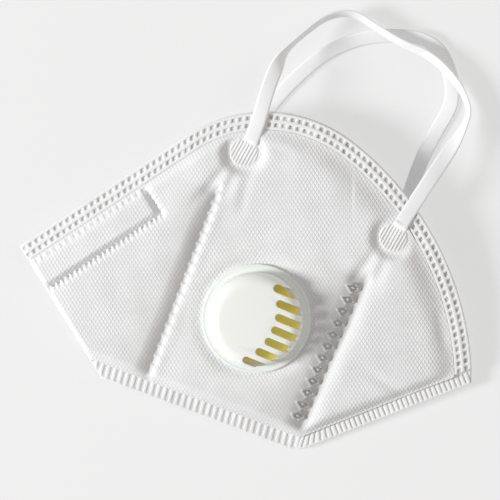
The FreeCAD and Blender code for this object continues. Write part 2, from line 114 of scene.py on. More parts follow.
def side_distance(x: Array, y: Array, start: Point2, end: Point2) -> Array:
    """Distance from the line through two points, positive on its left.

    Args:
        x: Pattern x of the points.
        y: Pattern y of the points.
        start: First point of the line.
        end: Second point of the line.

    Returns:
        The signed distances.
    """
    way = unit(start, end)
    return way[0] * (y - start[1]) - way[1] * (x - start[0])


def along_distance(x: Array, y: Array, start: Point2, end: Point2) -> Array:
    """Distance along the line from start towards end."""
    way = unit(start, end)
    return way[0] * (x - start[0]) + way[1] * (y - start[1])


def hem_distance(x: Array, y: Array) -> Array:
    """Distance inwards from the nose edge, the crown and the side edge."""
    nose = -side_distance(x, y, PATTERN.nose_tip, PATTERN.nose_end)
    crown = PATTERN.crown_radius - np.hypot(
        x - PATTERN.crown_centre[0], y - PATTERN.crown_centre[1]
    )
    side = PATTERN.side_radius - np.hypot(
        x - PATTERN.side_centre[0], y - PATTERN.side_centre[1]
    )
    upper = (x < PATTERN.shoulder[0]) & (y > PATTERN.crown_centre[1])
    run = along_distance(x, y, PATTERN.nose_tip, PATTERN.nose_end)
    on_nose = run < PATTERN.nose_edge
    rest = np.where(upper, crown, side)
    return np.where(on_nose, nose, rest)


def soft_step(value: Array, start: float, end: float) -> Array:
    """Smooth 0 to 1 as value goes from start to end."""
    share = np.clip((value - start) / (end - start), 0.0, 1.0)
    return share * share * (3 - 2 * share)


def bumps(run: Array, pitch: float, low: float, high: float) -> Array:
    """Evenly spaced bumps along a run.

    Args:
        run: Distance along the row of bumps.
        pitch: Spacing of the bumps.
        low: Level of the wave at which a bump starts, 0 to 1.
        high: Level at which it is full.

    Returns:
        0 between the bumps to 1 on them.
    """
    return soft_step(0.5 + 0.5 * np.cos(2 * math.pi * run / pitch), low, high)


def ramp(distance: Array, width: float = 4.0) -> Array:
    """Distance past a fold, with a rounded start."""
    inside = np.clip(distance + width / 2, 0, width)
    return np.where(distance > width / 2, distance, inside**2 / (2 * width))


class Side(Enum):
    """The two halves of the mask, which fold flat on each other."""

    LEFT = "left"
    RIGHT = "right"


@dataclass(frozen=True)
class Half:
    """Puts pattern points and heights of one half into the frame."""

    side: Side

    def place(self, x: Array, y: Array, height: Array) -> Array:
        """Points of the frame for pattern points at a height off the inner face.

        Args:
            x: Pattern x.
            y: Pattern y.
            height: Height outwards from the half's inner face.

        Returns:
            An array of points in metres, one row each.
        """
        x, y, height = np.broadcast_arrays(
            np.asarray(x, float), np.asarray(y, float), np.asarray(height, float)
        )
        nose = side_distance(x, y, PATTERN.seam_front, PATTERN.nose_crease_top)
        chin = -side_distance(x, y, PATTERN.seam_bottom, PATTERN.chin_crease_top)
        drop = math.sin(math.radians(PATTERN.nose_fold)) * ramp(nose)
        drop = drop + math.sin(math.radians(PATTERN.chin_fold)) * ramp(chin)
        height = height - drop
        if self.side is Side.RIGHT:
            return np.stack([x, y, PATTERN.plane - height], axis=-1) * MM
        keel = unit(PATTERN.seam_front, PATTERN.seam_bottom)
        up = np.array([-keel[1], keel[0]])
        rise = side_distance(x, y, PATTERN.seam_front, PATTERN.seam_bottom)
        turn = math.radians(PATTERN.opening)
        across = rise * math.cos(turn) - height * math.sin(turn)
        shift = across - rise
        z = PATTERN.plane + rise * math.sin(turn) + height * math.cos(turn)
        return np.stack([x + up[0] * shift, y + up[1] * shift, z], axis=-1) * MM

    def point(self, spot: Point2, height: float) -> Vector:
        """One placed point."""
        return Vector(self.place(spot[0], spot[1], height))

    def body(self, part: str) -> str:
        """Name of this half's body, such as left_nose."""
        return f"{self.side.value}_{part}"

    def crease(self, nose: bool, reach: float = 3.2) -> Tuple[Vector, Vector]:
        """Points on either side of the middle of a crease.

        Args:
            nose: True for the nose crease, False for the chin crease.
            reach: Distance each side of the crease.

        Returns:
            The point on the middle's side and the one past the crease.
        """
        low, high = (
            (PATTERN.seam_front, PATTERN.nose_crease_top)
            if nose
            else (PATTERN.seam_bottom, PATTERN.chin_crease_top)
        )
        way = unit(low, high)
        out = np.array([-way[1], way[0]]) * (1 if nose else -1)
        middle = np.add(low, high) / 2
        return (
            self.point(tuple(middle - out * reach), 1.0),
            self.point(tuple(middle + out * reach), 1.0),
        )


LEFT = Half(Side.LEFT)
RIGHT = Half(Side.RIGHT)


def valve_frame() -> Matrix:
    """The valve's own frame, its z along the valve's axis, in millimetres."""
    keel = unit(PATTERN.seam_front, PATTERN.seam_bottom)
    pivot = Vector((*PATTERN.seam_front, PATTERN.plane))
    turn = Matrix.Rotation(
        math.radians(PATTERN.opening), 4, Vector((keel[0], keel[1], 0))
    )
    place = Matrix.Translation(pivot) @ turn @ Matrix.Translation(-pivot)
    return place @ Matrix.Rotation(math.radians(-23), 4, "Z")


# --------------------------------------------------------------------------
# Meshes
# --------------------------------------------------------------------------


@dataclass
class Surface:
    """A mesh in the making: rows of points, faces and a value or two on each point."""

    points: List[Array] = field(default_factory=list)
    faces: List[Tuple[int, ...]] = field(default_factory=list)
    plan: List[Array] = field(default_factory=list)
    press_and_shade: List[Array] = field(default_factory=list)
    count: int = 0

    def add_grid(
        self, points: Array, plan: Array, press_and_shade: Optional[Array] = None, flip: bool = False
    ) -> None:
        """Adds a grid of points with quads between them.

        Args:
            points: Rows by columns by three, in metres.
            plan: Rows by columns by two, the flat place of each point, mm.
            press_and_shade: Rows by columns, 0 to 1: how far each point is pressed in, and on
                the outer fabric its painted shade.
            flip: True to turn the faces over.
        """
        rows, cols = points.shape[:2]
        press_and_shade = np.zeros((rows, cols)) if press_and_shade is None else press_and_shade
        self.points.append(points.reshape(-1, 3))
        self.plan.append(plan.reshape(-1, 2))
        self.press_and_shade.append(np.asarray(press_and_shade, float).reshape(-1))
        base = self.count + np.arange(rows * cols).reshape(rows, cols)
        quads = np.stack(
            [base[:-1, :-1], base[:-1, 1:], base[1:, 1:], base[1:, :-1]], axis=-1
        ).reshape(-1, 4)
        if flip:
            quads = quads[:, ::-1]
        self.faces.extend(map(tuple, quads.tolist()))
        self.count += rows * cols

    def build(
        self, name: str, keep: Optional[Callable[[Array], Array]] = None
    ) -> bpy.types.Object:
        """Makes the Blender object.

        Args:
            name: The piece's name.
            keep: Takes the plan points and says which stay; faces with a lost
                point go.

        Returns:
            The object, smooth shaded, with its plan as a UV layer.
        """
        points = np.concatenate(self.points)
        plan = np.concatenate(self.plan)
        press_and_shade = np.concatenate(self.press_and_shade)
        faces = np.array(self.faces)
        if keep is not None:
            stays = keep(plan)
            faces = faces[stays[faces].all(axis=1)]
        mesh = bpy.data.meshes.new(name)
        mesh.from_pydata(points.tolist(), [], faces.tolist())
        layer = mesh.uv_layers.new(name="plan")
        corner = np.zeros(len(mesh.loops), dtype=np.int32)
        mesh.loops.foreach_get("vertex_index", corner)
        layer.data.foreach_set("uv", plan[corner].astype(np.float32).ravel())
        # point values that darken the fabric: pressed welds, and painted shade on slopes
        mark = mesh.attributes.new("press_and_shade", "FLOAT", "POINT")
        mark.data.foreach_set("value", press_and_shade.astype(np.float32))
        work = bmesh.new()
        work.from_mesh(mesh)
        loose = [v for v in work.verts if not v.link_faces]
        bmesh.ops.delete(work, geom=loose, context="VERTS")
        bmesh.ops.remove_doubles(work, verts=work.verts, dist=2e-6)
        for face in work.faces:
            face.smooth = True
        work.to_mesh(mesh)
        work.free()
        return add_object(name, mesh)


def add_object(name: str, mesh: bpy.types.ID) -> bpy.types.Object:
    """Links a new object that holds a mesh, a curve or a lamp."""
    made = bpy.data.objects.new(name, mesh)
    bpy.context.scene.collection.objects.link(made)
    return made


def spread(line: Array, shares: Array) -> Array:
    """Points of a bent line.

    Args:
        line: The line's own points.
        shares: Shares of its length at which points are wanted.

    Returns:
        The points, one row each.
    """
    steps = np.r_[0, np.cumsum(np.linalg.norm(np.diff(line, axis=0), axis=1))]
    spots = shares * steps[-1]
    return np.stack([np.interp(spots, steps, line[:, i]) for i in (0, 1)], axis=-1)


def polyline(points: Sequence[Point2], count: int) -> Array:
    """Points spread evenly along a bent line."""
    return spread(np.asarray(points, float), np.linspace(0, 1, count))


def coons(bottom: Array, top: Array, left: Array, right: Array) -> Array:
    """Fills four edge lines with a grid.

    Args:
        bottom: Points left to right.
        top: Points left to right, as many.
        left: Points bottom to top.
        right: Points bottom to top, as many as left.

    Returns:
        Rows by columns by two.
    """
    u = np.linspace(0, 1, len(bottom))[None, :, None]
    v = np.linspace(0, 1, len(left))[:, None, None]
    ruled = (1 - v) * bottom[None] + v * top[None]
    ruled = ruled + (1 - u) * left[:, None] + u * right[:, None]
    corners = (
        (1 - u) * (1 - v) * bottom[0]
        + u * (1 - v) * bottom[-1]
        + (1 - u) * v * top[0]
        + u * v * top[-1]
    )
    return ruled - corners


@dataclass(frozen=True)
class Hem:
    """The hem line: nose edge, crown arc and side arc, by length from the nose tip."""

    inset: float = 0.0

    def line(self) -> Array:
        """Dense points of the hem line moved inwards by the inset."""
        tip = np.array(PATTERN.nose_tip)
        end = np.array(PATTERN.nose_end)
        way = unit(PATTERN.nose_tip, PATTERN.nose_end)
        inwards = np.array([way[1], -way[0]])
        ridge = unit(PATTERN.nose_tip, PATTERN.seam_front)
        slide = self.inset / abs(way[0] * ridge[1] - way[1] * ridge[0])
        start = tip + ridge * slide
        nose = np.linspace(start, end + inwards * self.inset, 60)
        centre = np.array(PATTERN.crown_centre)
        first = math.atan2(*(end - centre)[::-1])
        last = math.atan2(*(np.array(PATTERN.shoulder) - centre)[::-1])
        turn = np.linspace(first, last, 80)
        radius = PATTERN.crown_radius - self.inset
        crown = centre + radius * np.stack([np.cos(turn), np.sin(turn)], axis=-1)
        centre = np.array(PATTERN.side_centre)
        radius = PATTERN.side_radius - self.inset
        first = math.atan2(*(np.array(PATTERN.shoulder) - centre)[::-1])
        chin = unit(PATTERN.seam_bottom, PATTERN.seam_rear)
        gap = np.array(PATTERN.seam_rear) - centre
        back = gap @ chin - math.sqrt((gap @ chin) ** 2 - gap @ gap + radius**2)
        last = math.atan2(*(gap - chin * back)[::-1])
        turn = np.linspace(first, last, 80)
        side = centre + radius * np.stack([np.cos(turn), np.sin(turn)], axis=-1)
        return np.concatenate([nose, crown[1:], side[1:]])

    def between(self, start: float, end: float, count: int) -> Array:
        """Points between two shares of the whole line's length."""
        return spread(self.line(), np.linspace(start, end, count))

    def share_near(self, spot: Point2) -> float:
        """Share of the line's length at the place nearest a point."""
        fine = np.linspace(0, 1, 4001)
        dense = spread(self.line(), fine)
        near = np.argmin(np.linalg.norm(dense - np.array(spot), axis=1))
        return float(fine[near])


# --------------------------------------------------------------------------
# Shader maths
# --------------------------------------------------------------------------

Number = Union[float, int]


class Value:
    """A socket of a node tree that can be added, multiplied and compared."""

    def __init__(self, tree: bpy.types.NodeTree, socket: bpy.types.NodeSocket) -> None:
        """Wraps one output socket of a tree."""
        self.tree = tree
        self.socket = socket

    def maths(self, operation: str, *others: Union["Value", Number]) -> "Value":
        """Adds a Math node on this value and others."""
        return maths(self.tree, operation, self, *others)

    def __add__(self, other: Union["Value", Number]) -> "Value":
        """Sum."""
        return self.maths("ADD", other)

    __radd__ = __add__

    def __sub__(self, other: Union["Value", Number]) -> "Value":
        """Difference."""
        return self.maths("SUBTRACT", other)

    def __rsub__(self, other: Number) -> "Value":
        """Number minus this value."""
        return maths(self.tree, "SUBTRACT", other, self)

    def __mul__(self, other: Union["Value", Number]) -> "Value":
        """Product."""
        return self.maths("MULTIPLY", other)

    __rmul__ = __mul__

    def __pow__(self, other: Number) -> "Value":
        """Power."""
        return self.maths("POWER", other)


def maths(
    tree: bpy.types.NodeTree, operation: str, *inputs: Union[Value, Number]
) -> Value:
    """Adds one Math node.

    Args:
        tree: The material's tree.
        operation: The Math node's operation.
        inputs: Its values or links, in order.

    Returns:
        The node's result.
    """
    node = tree.nodes.new("ShaderNodeMath")
    node.operation = operation
    for socket, value in zip(node.inputs, inputs):
        if isinstance(value, Value):
            tree.links.new(value.socket, socket)
        else:
            socket.default_value = float(value)
    return Value(tree, node.outputs[0])


Colour = Tuple[float, float, float]


class Finish:
    """A material in the making: its tree, its shader and short ways to add nodes."""

    def __init__(self, name: str, colour: Colour, roughness: float) -> None:
        """Starts a material with a Principled shader."""
        self.material = bpy.data.materials.new(name)
        self.material.use_nodes = True
        self.tree = self.material.node_tree
        self.shader = self.tree.nodes["Principled BSDF"]
        self.set("Base Color", (*colour, 1.0))
        self.set("Roughness", roughness)

    def set(self, socket: str, value: object) -> None:
        """Sets a socket of the shader to one value, unlinked."""
        self.shader.inputs[socket].default_value = value

    def node(
        self, kind: str, settings: Dict[str, object], inputs: Dict[object, object]
    ) -> bpy.types.Node:
        """Adds any node.

        Args:
            kind: The node's type.
            settings: Its settings, set first.
            inputs: Values or links of its sockets, by name or number.

        Returns:
            The new node.
        """
        made = self.tree.nodes.new(kind)
        for key, value in settings.items():
            setattr(made, key, value)
        for key, value in inputs.items():
            socket = made.inputs[key]
            if isinstance(value, Value):
                self.tree.links.new(value.socket, socket)
            else:
                socket.default_value = value
        return made

    def output(self, node: bpy.types.Node, name: object = 0) -> Value:
        """One output of a node as a value."""
        return Value(self.tree, node.outputs[name])

    def position(self) -> Value:
        """Object coordinates."""
        return self.output(self.node("ShaderNodeTexCoord", {}, {}), "Object")

    def plan(self) -> Value:
        """Flat pattern coordinates in millimetres."""
        return self.output(self.node("ShaderNodeUVMap", {"uv_map": "plan"}, {}))

    def attribute(self, name: str) -> Value:
        """A value stored on the mesh's points."""
        node = self.node("ShaderNodeAttribute", {"attribute_name": name}, {})
        return self.output(node, "Fac")

    def split(self, vector: Value) -> Tuple[Value, Value]:
        """X and Y of a vector."""
        node = self.node("ShaderNodeSeparateXYZ", {}, {0: vector})
        return self.output(node, 0), self.output(node, 1)

    def noise(self, vector: Value, scale: float, detail: float = 3.0) -> Value:
        """Noise from 0 to 1 about a half."""
        node = self.node(
            "ShaderNodeTexNoise",
            {"noise_dimensions": "3D"},
            {"Vector": vector, "Scale": scale, "Detail": detail},
        )
        return self.output(node, 0)

    def stretched(self, vector: Value, scale: Point3) -> Value:
        """A vector times three scales."""
        node = self.node(
            "ShaderNodeVectorMath", {"operation": "MULTIPLY"}, {0: vector, 1: scale}
        )
        return self.output(node)

    def blend_colours(self, share: Value, low: Colour, high: Colour) -> Value:
        """A colour between two colours.

        Args:
            share: 0 gives low, 1 gives high.
            low: The first colour.
            high: The second colour.

        Returns:
            The mixed colour.
        """
        node = self.node(
            "ShaderNodeMix",
            {"data_type": "RGBA", "clamp_factor": True},
            {0: share, 6: (*low, 1.0), 7: (*high, 1.0)},
        )
        return self.output(node, 2)

    def feed(self, socket: str, value: Value) -> None:
        """Links a value to the shader."""
        self.tree.links.new(value.socket, self.shader.inputs[socket])

    def bump(self, height: Value, depth_mm: float, strength: float = 1.0) -> None:
        """Feeds the shader's normal from a height of 0 to 1."""
        node = self.node(
            "ShaderNodeBump",
            {},
            {"Height": height, "Distance": depth_mm * MM, "Strength": strength},
        )
        self.feed("Normal", self.output(node))


def embossed(finish: Finish, pitch: float) -> Value:
    """Height of small diamond pillows in the flat pattern.

    Args:
        finish: The material being made.
        pitch: Width of one diamond, mm.

    Returns:
        Height from 0 in the pressed lines to 1 on the pillows.
    """
    x, y = finish.split(finish.plan())
    turn = 2 * math.pi / pitch
    first = ((x + y * 0.62) * (turn * 0.5)).maths("SINE").maths("ABSOLUTE")
    second = ((x - y * 0.62) * (turn * 0.5)).maths("SINE").maths("ABSOLUTE")
    return (first * second) ** 0.6


@dataclass(frozen=True)
class Nonwoven:
    """Pressed nonwoven fabric."""

    name: str
    colour: Colour
    # the pressed colour is also the painted shade colour of the outer fabric
    pressed: Colour
    pitch: float = 1.3
    emboss: float = 0.11
    roughness: float = 0.82

    def make(self) -> bpy.types.Material:
        """The finished material."""
        finish = Finish(self.name, self.colour, self.roughness)
        place = finish.position()
        pillows = embossed(finish, self.pitch)
        fibres = finish.noise(finish.stretched(place, (1.0, 0.35, 1.0)), 5200.0, 4.0)
        cross = finish.noise(finish.stretched(place, (0.3, 1.0, 1.0)), 4300.0, 3.0)
        clouds = finish.noise(place, 95.0, 3.0)
        # point values darken towards the pressed colour: real pressed welds, and painted shade
        # on slopes facing away from the key light
        press_and_shade = finish.attribute("press_and_shade")
        tone = (
            (clouds - 0.5) * 0.5 + (1 - pillows) * 0.2 + (fibres - 0.5) * 0.3 + press_and_shade
        )
        finish.feed(
            "Base Color",
            finish.blend_colours(
                tone.maths("MAXIMUM", 0.0), self.colour, self.pressed
            ),
        )
        finish.feed("Roughness", self.roughness - press_and_shade * 0.22 + (cross - 0.5) * 0.12)
        finish.set("Sheen Weight", 0.12)
        finish.set("Sheen Roughness", 0.5)
        finish.set("Specular IOR Level", 0.3)
        finish.bump(
            pillows * (1 - press_and_shade) + fibres * 0.25 + cross * 0.22, self.emboss, 1.0
        )
        return finish.material


@dataclass(frozen=True)
class Elastic:
    """Flat knitted elastic, with fine ribs along it."""

    name: str
    colour: Colour
    groove: Colour

    def make(self) -> bpy.types.Material:
        """The finished material."""
        finish = Finish(self.name, self.colour, 0.55)
        place = finish.position()
        along, across = finish.split(finish.plan())
        ribs = (across * (2 * math.pi / 0.42)).maths("SINE") * 0.5 + 0.5
        stitches = (along * (2 * math.pi / 0.55)).maths("SINE") * 0.5 + 0.5
        fuzz = finish.noise(place, 4200.0, 3.0)
        clouds = finish.noise(place, 130.0, 2.0)
        tone = (1 - ribs) * 0.22 + (1 - stitches) * 0.08 + (fuzz - 0.4) * 0.2
        tone = tone + (clouds - 0.5) * 0.3
        finish.feed(
            "Base Color",
            finish.blend_colours(tone.maths("MAXIMUM", 0.0), self.colour, self.groove),
        )
        finish.feed("Roughness", fuzz * 0.2 + 0.45)
        finish.set("Sheen Weight", 0.2)
        # painted light: a faint white glow lifts the band's shaded parts
        finish.set("Emission Color", (1.0, 1.0, 1.0, 1.0))
        finish.set("Emission Strength", 0.09)
        finish.bump(ribs * 0.7 + stitches * 0.3 + fuzz * 0.3, 0.05, 0.8)
        return finish.material


@dataclass(frozen=True)
class Moulded:
    """Moulded plastic or rubber with a fine satin grain."""

    name: str
    colour: Colour
    shade: Colour
    roughness: float = 0.38
    body: float = 0.15
    grain: float = 0.012
    glow: float = 0.0

    def make(self) -> bpy.types.Material:
        """The finished material."""
        finish = Finish(self.name, self.colour, self.roughness)
        place = finish.position()
        clouds = finish.noise(place, 140.0, 3.0)
        fine = finish.noise(place, 3600.0, 2.0)
        flow = finish.noise(finish.stretched(place, (1.0, 3.0, 1.0)), 60.0, 2.0)
        tone = (clouds - 0.35) * 0.7 + (flow - 0.5) * 0.4 + (fine - 0.5) * 0.15
        finish.feed(
            "Base Color",
            finish.blend_colours(tone.maths("MAXIMUM", 0.0), self.colour, self.shade),
        )
        finish.feed("Roughness", self.roughness + (clouds - 0.5) * 0.16 + fine * 0.05)
        finish.set("Subsurface Weight", self.body)
        finish.set("Subsurface Radius", (0.004, 0.0035, 0.002))
        finish.set("Subsurface Scale", 0.5)
        # painted light: a glow of the part's own colour, which lifts parts that sit in shade
        finish.set("Emission Color", (*self.colour, 1.0))
        finish.set("Emission Strength", self.glow)
        finish.bump(fine, self.grain, 0.6)
        return finish.material


@dataclass(frozen=True)
class Wire:
    """Flat annealed aluminium, drawn lengthwise."""

    name: str = "drawn_aluminium"
    colour: Colour = (0.62, 0.63, 0.65)
    shade: Colour = (0.42, 0.43, 0.45)

    def make(self) -> bpy.types.Material:
        """The finished material."""
        finish = Finish(self.name, self.colour, 0.35)
        finish.set("Metallic", 1.0)
        place = finish.position()
        lines = finish.noise(finish.stretched(place, (0.08, 1.0, 1.0)), 3000.0, 3.0)
        finish.feed(
            "Base Color", finish.blend_colours(lines, self.colour, self.shade)
        )
        finish.feed("Roughness", lines * 0.25 + 0.25)
        finish.bump(lines, 0.01, 0.5)
        return finish.material


@dataclass(frozen=True)
class Backdrop:
    """The pale table top."""

    name: str = "table_top"
    colour: Colour = (0.34, 0.34, 0.34)
    shade: Colour = (0.33, 0.33, 0.33)
    glow: float = 0.53

    def make(self) -> bpy.types.Material:
        """The finished material."""
        finish = Finish(self.name, self.colour, 0.9)
        finish.set("Specular IOR Level", 0.05)
        finish.set("Emission Color", (1.0, 1.0, 1.0, 1.0))
        finish.set("Emission Strength", self.glow)
        soft = finish.noise(finish.position(), 6.0, 2.0)
        finish.feed("Base Color", finish.blend_colours(soft, self.colour, self.shade))
        return finish.material


@dataclass
class Palette:
    """Every finish of the mask, made once."""

    outer: bpy.types.Material = field(init=False)
    inner: bpy.types.Material = field(init=False)
    fused: bpy.types.Material = field(init=False)
    elastic: bpy.types.Material = field(init=False)
    plastic: bpy.types.Material = field(init=False)
    cover: bpy.types.Material = field(init=False)
    ledge: bpy.types.Material = field(init=False)
    rubber: bpy.types.Material = field(init=False)
    wire: bpy.types.Material = field(init=False)

    def __post_init__(self) -> None:
        """Makes the materials."""
        self.outer = Nonwoven(
            "spunbond_white", (0.82, 0.82, 0.825), (0.55, 0.545, 0.54)
        ).make()
        self.inner = Nonwoven(
            "soft_lining", (0.85, 0.85, 0.85), (0.66, 0.66, 0.66), 0.9, 0.04, 0.88
        ).make()
        self.fused = Nonwoven(
            "fused_layers", (0.86, 0.86, 0.865), (0.40, 0.385, 0.37), 1.3, 0.03, 0.6
        ).make()
        self.elastic = Elastic(
            "knit_elastic", (0.85, 0.85, 0.855), (0.62, 0.62, 0.63)
        ).make()
        self.plastic = Moulded(
            "milky_plastic", (0.86, 0.88, 0.85), (0.80, 0.83, 0.78)
        ).make()
        self.cover = Moulded(
            "ivory_plastic", (0.86, 0.865, 0.83), (0.82, 0.825, 0.77), 0.33
        ).make()
        self.rubber = Moulded(
            "olive_silicone",
            (0.86, 0.73, 0.16),
            (0.74, 0.62, 0.12),
            0.45,
            0.3,
            # painted light: the glow lifts the flap seen in the shaded slots
            glow=0.11,
        ).make()
        # painted shade and painted light: beige is the shaded tone of the pale plastic inside
        # the cover, and a glow lifts it
        self.ledge = Moulded(
            "shaded_beige", (0.84, 0.77, 0.58), (0.74, 0.67, 0.48), 0.4, glow=0.14
        ).make()
        self.wire = Wire().make()


def dress(piece: bpy.types.Object, material: bpy.types.Material) -> None:
    """Gives a piece its material and logs which one."""
    piece.data.materials.clear()
    piece.data.materials.append(material)
    LOG.info("piece %s in %s", piece.name, material.name)


# --------------------------------------------------------------------------
# Camera, light and table
# --------------------------------------------------------------------------


@dataclass
class Studio:
    """Camera straight above, soft light from the upper left, a pale table."""

    centre: Point2 = (-2.28, 22.65)
    width: float = 169.0
    distance: float = 1400.0
    object_height: float = 6.0

    def make_camera(self) -> bpy.types.Object:
        """A long lens looking straight down."""
        data = bpy.data.cameras.new("camera")
        data.sensor_width = 36.0
        data.lens = 36.0 * self.distance / self.width
        data.clip_start, data.clip_end = 0.05, 10.0
        camera = bpy.data.objects.new("camera", data)
        height = (self.distance + self.object_height) * MM
        camera.location = (self.centre[0] * MM, self.centre[1] * MM, height)
        bpy.context.scene.collection.objects.link(camera)
        bpy.context.scene.camera = camera
        return camera

    def make_light(self) -> None:
        """One large key, a weaker warm fill and a soft pale world."""
        scene = bpy.context.scene
        scene.view_settings.view_transform = "Standard"
        scene.view_settings.look = "None"
        world = bpy.data.worlds.new("studio")
        world.use_nodes = True
        background = world.node_tree.nodes["Background"]
        background.inputs[0].default_value = (0.97, 0.96, 0.95, 1)
        background.inputs[1].default_value = 0.4
        scene.world = world
        for name, place, size, power, colour in (
            ("key", (-2.0, -0.24, 1.2), 0.7, 54.0, (0.98, 0.99, 1.0)),
            ("fill", (1.5, 0.7, 1.8), 1.6, 9.0, (1.0, 0.93, 0.87)),
        ):
            data = bpy.data.lights.new(name, "AREA")
            data.shape = "DISK"
            data.size = size
            data.energy = power
            data.color = colour
            lamp = bpy.data.objects.new(name, data)
            lamp.location = place
            aim = Vector((0, 0.02, 0)) - lamp.location
            lamp.rotation_mode = "QUATERNION"
            lamp.rotation_quaternion = aim.to_track_quat("-Z", "Y")
            scene.collection.objects.link(lamp)

    def make_table(self) -> bpy.types.Object:
        """A wide flat table top just under the mask."""
        mesh = bpy.data.meshes.new("table")
        size, low = 3.0, -0.00005
        mesh.from_pydata(
            [(-size, -size, low), (size, -size, low), (size, size, low), (-size, size, low)],
            [],
            [(0, 1, 2, 3)],
        )
        table = add_object("table", mesh)
        mesh.materials.append(Backdrop().make())
        return table


# --------------------------------------------------------------------------
# Ear loops
# --------------------------------------------------------------------------


@dataclass
class EarLoop:
    """One flat elastic band from the front weld to the rear weld."""

    name: str
    node: str
    route: Sequence[Tuple[float, float, float, float]]
    length: float
    width: float = 5.0
    thickness: float = 0.7

    def profile(self) -> bpy.types.Object:
        """The band's section: flat, with round edges and a slight crown."""
        curve = bpy.data.curves.new(f"{self.name}_section", "CURVE")
        curve.dimensions = "2D"
        half, thick = self.width / 2, self.thickness / 2
        outline: List[Point2] = []
        for share in np.linspace(-1, 1, 11):
            crown = 0.10 * math.cos(share * math.pi / 2)
            outline.append((share * (half - thick), thick + crown))
        outline.append((half, 0.0))
        for share in np.linspace(1, -1, 11):
            outline.append((share * (half - thick), -thick))
        outline.append((-half, 0.0))
        spline = curve.splines.new("POLY")
        spline.points.add(len(outline) - 1)
        for point, (x, y) in zip(spline.points, outline):
            point.co = (x * MM, y * MM, 0, 1)
        spline.use_cyclic_u = True
        section = bpy.data.objects.new(f"{self.name}_section", curve)
        bpy.context.scene.collection.objects.link(section)
        section.hide_render = True
        section.hide_viewport = True
        return section

    def centreline(self) -> bpy.types.Object:
        """The band's middle line, one open NURBS spline through its route."""
        curve = bpy.data.curves.new(self.name, "CURVE")
        curve.dimensions = "3D"
        curve.twist_mode = "Z_UP"
        curve.resolution_u = 16
        spline = curve.splines.new("NURBS")
        spline.points.add(len(self.route) - 1)
        for point, (x, y, z, tilt) in zip(spline.points, self.route):
            point.co = (x, y, z, 1)
            point.tilt = math.radians(tilt)
        spline.order_u = 3
        spline.use_endpoint_u = True
        return add_object(self.name, curve)

    def band_mesh(self, line: bpy.types.Object) -> Tuple[bpy.types.Object, List[Point3]]:
        """Sweeps the flat section along the middle line.

        Args:
            line: The NURBS curve, with no bevel.

        Returns:
            The band and the points that it follows.
        """
        bare = bpy.data.meshes.new_from_object(line)
        path = [tuple(v.co) for v in bare.vertices]
        section = self.profile()
        line.data.bevel_mode = "OBJECT"
        line.data.bevel_object = section
        line.data.use_fill_caps = True
        graph = bpy.context.evaluated_depsgraph_get()
        mesh = bpy.data.meshes.new_from_object(line.evaluated_get(graph))
        mesh.name = self.name
        bpy.data.objects.remove(section)
        bpy.data.objects.remove(line)
        count = 24
        rings = len(mesh.vertices) // count
        while mesh.uv_layers:
            mesh.uv_layers.remove(mesh.uv_layers[0])
        layer = mesh.uv_layers.new(name="plan")
        lengths = np.r_[
            0, np.cumsum(np.linalg.norm(np.diff(np.array(path), axis=0), axis=1))
        ]
        half = self.width / 2
        offsets = [*np.linspace(-half, half, 11), half, *np.linspace(half, -half, 11), -half]
        for loop in mesh.loops:
            ring, spot = divmod(loop.vertex_index, count)
            if ring < min(rings, len(lengths)):
                uv = (lengths[ring] / MM, offsets[spot])
            else:
                uv = (lengths[-1] / MM, 0.0)
            layer.data[loop.index].uv = uv
        for face in mesh.polygons:
            face.use_smooth = True
        return add_object(self.name, mesh), path

    def build(self, palette: Palette) -> bpy.types.Object:
        band, path = self.band_mesh(self.centreline())
        dress(band, palette.elastic)
        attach(band, self.node)
        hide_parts(self.node)
        return band


LEFT_ROUTE = (
    (-0.0017, 0.0600, 0.0138, 0.0),
    (0.0004, 0.0650, 0.0146, 0.0),
    (0.0030, 0.0748, 0.0154, 0.0),
    (0.0064, 0.0840, 0.0136, 6.0),
    (0.0096, 0.0898, 0.0118, 74.0),
    (0.0162, 0.0958, 0.0092, 76.0),
    (0.0240, 0.1018, 0.0064, 72.0),
    (0.0325, 0.1032, 0.0050, 66.0),
    (0.0400, 0.0982, 0.0045, 70.0),
    (0.0500, 0.0920, 0.0044, 66.0),
    (0.0590, 0.0885, 0.0044, 60.0),
    (0.0680, 0.0795, 0.0044, 68.0),
    (0.0722, 0.0705, 0.0048, 78.0),
    (0.0702, 0.0645, 0.0062, 70.0),
    (0.0640, 0.0545, 0.0092, 4.0),
    (0.0565, 0.0437, 0.0126, 0.0),
    (0.0488, 0.0317, 0.0128, 0.0),
)

RIGHT_ROUTE = (
    (-0.00147, 0.0607, 0.0005, 0.0),
    (0.0036, 0.0705, 0.0007, 0.0),
    (0.0120, 0.0800, 0.0011, 4.0),
    (0.0230, 0.0895, 0.0012, 8.0),
    (0.0355, 0.0948, 0.0014, 14.0),
    (0.0480, 0.0955, 0.0014, 26.0),
    (0.0560, 0.0946, 0.0016, 34.0),
    (0.0625, 0.0905, 0.0012, 12.0),
    (0.0662, 0.0815, 0.0008, 0.0),
    (0.0665, 0.0720, 0.0008, 0.0),
    (0.0600, 0.0615, 0.0008, 0.0),
    (0.0540, 0.0490, 0.0008, 0.0),
    (0.0488, 0.0320, 0.0005, 0.0),
)


# --------------------------------------------------------------------------
# Fabric of one half
# --------------------------------------------------------------------------


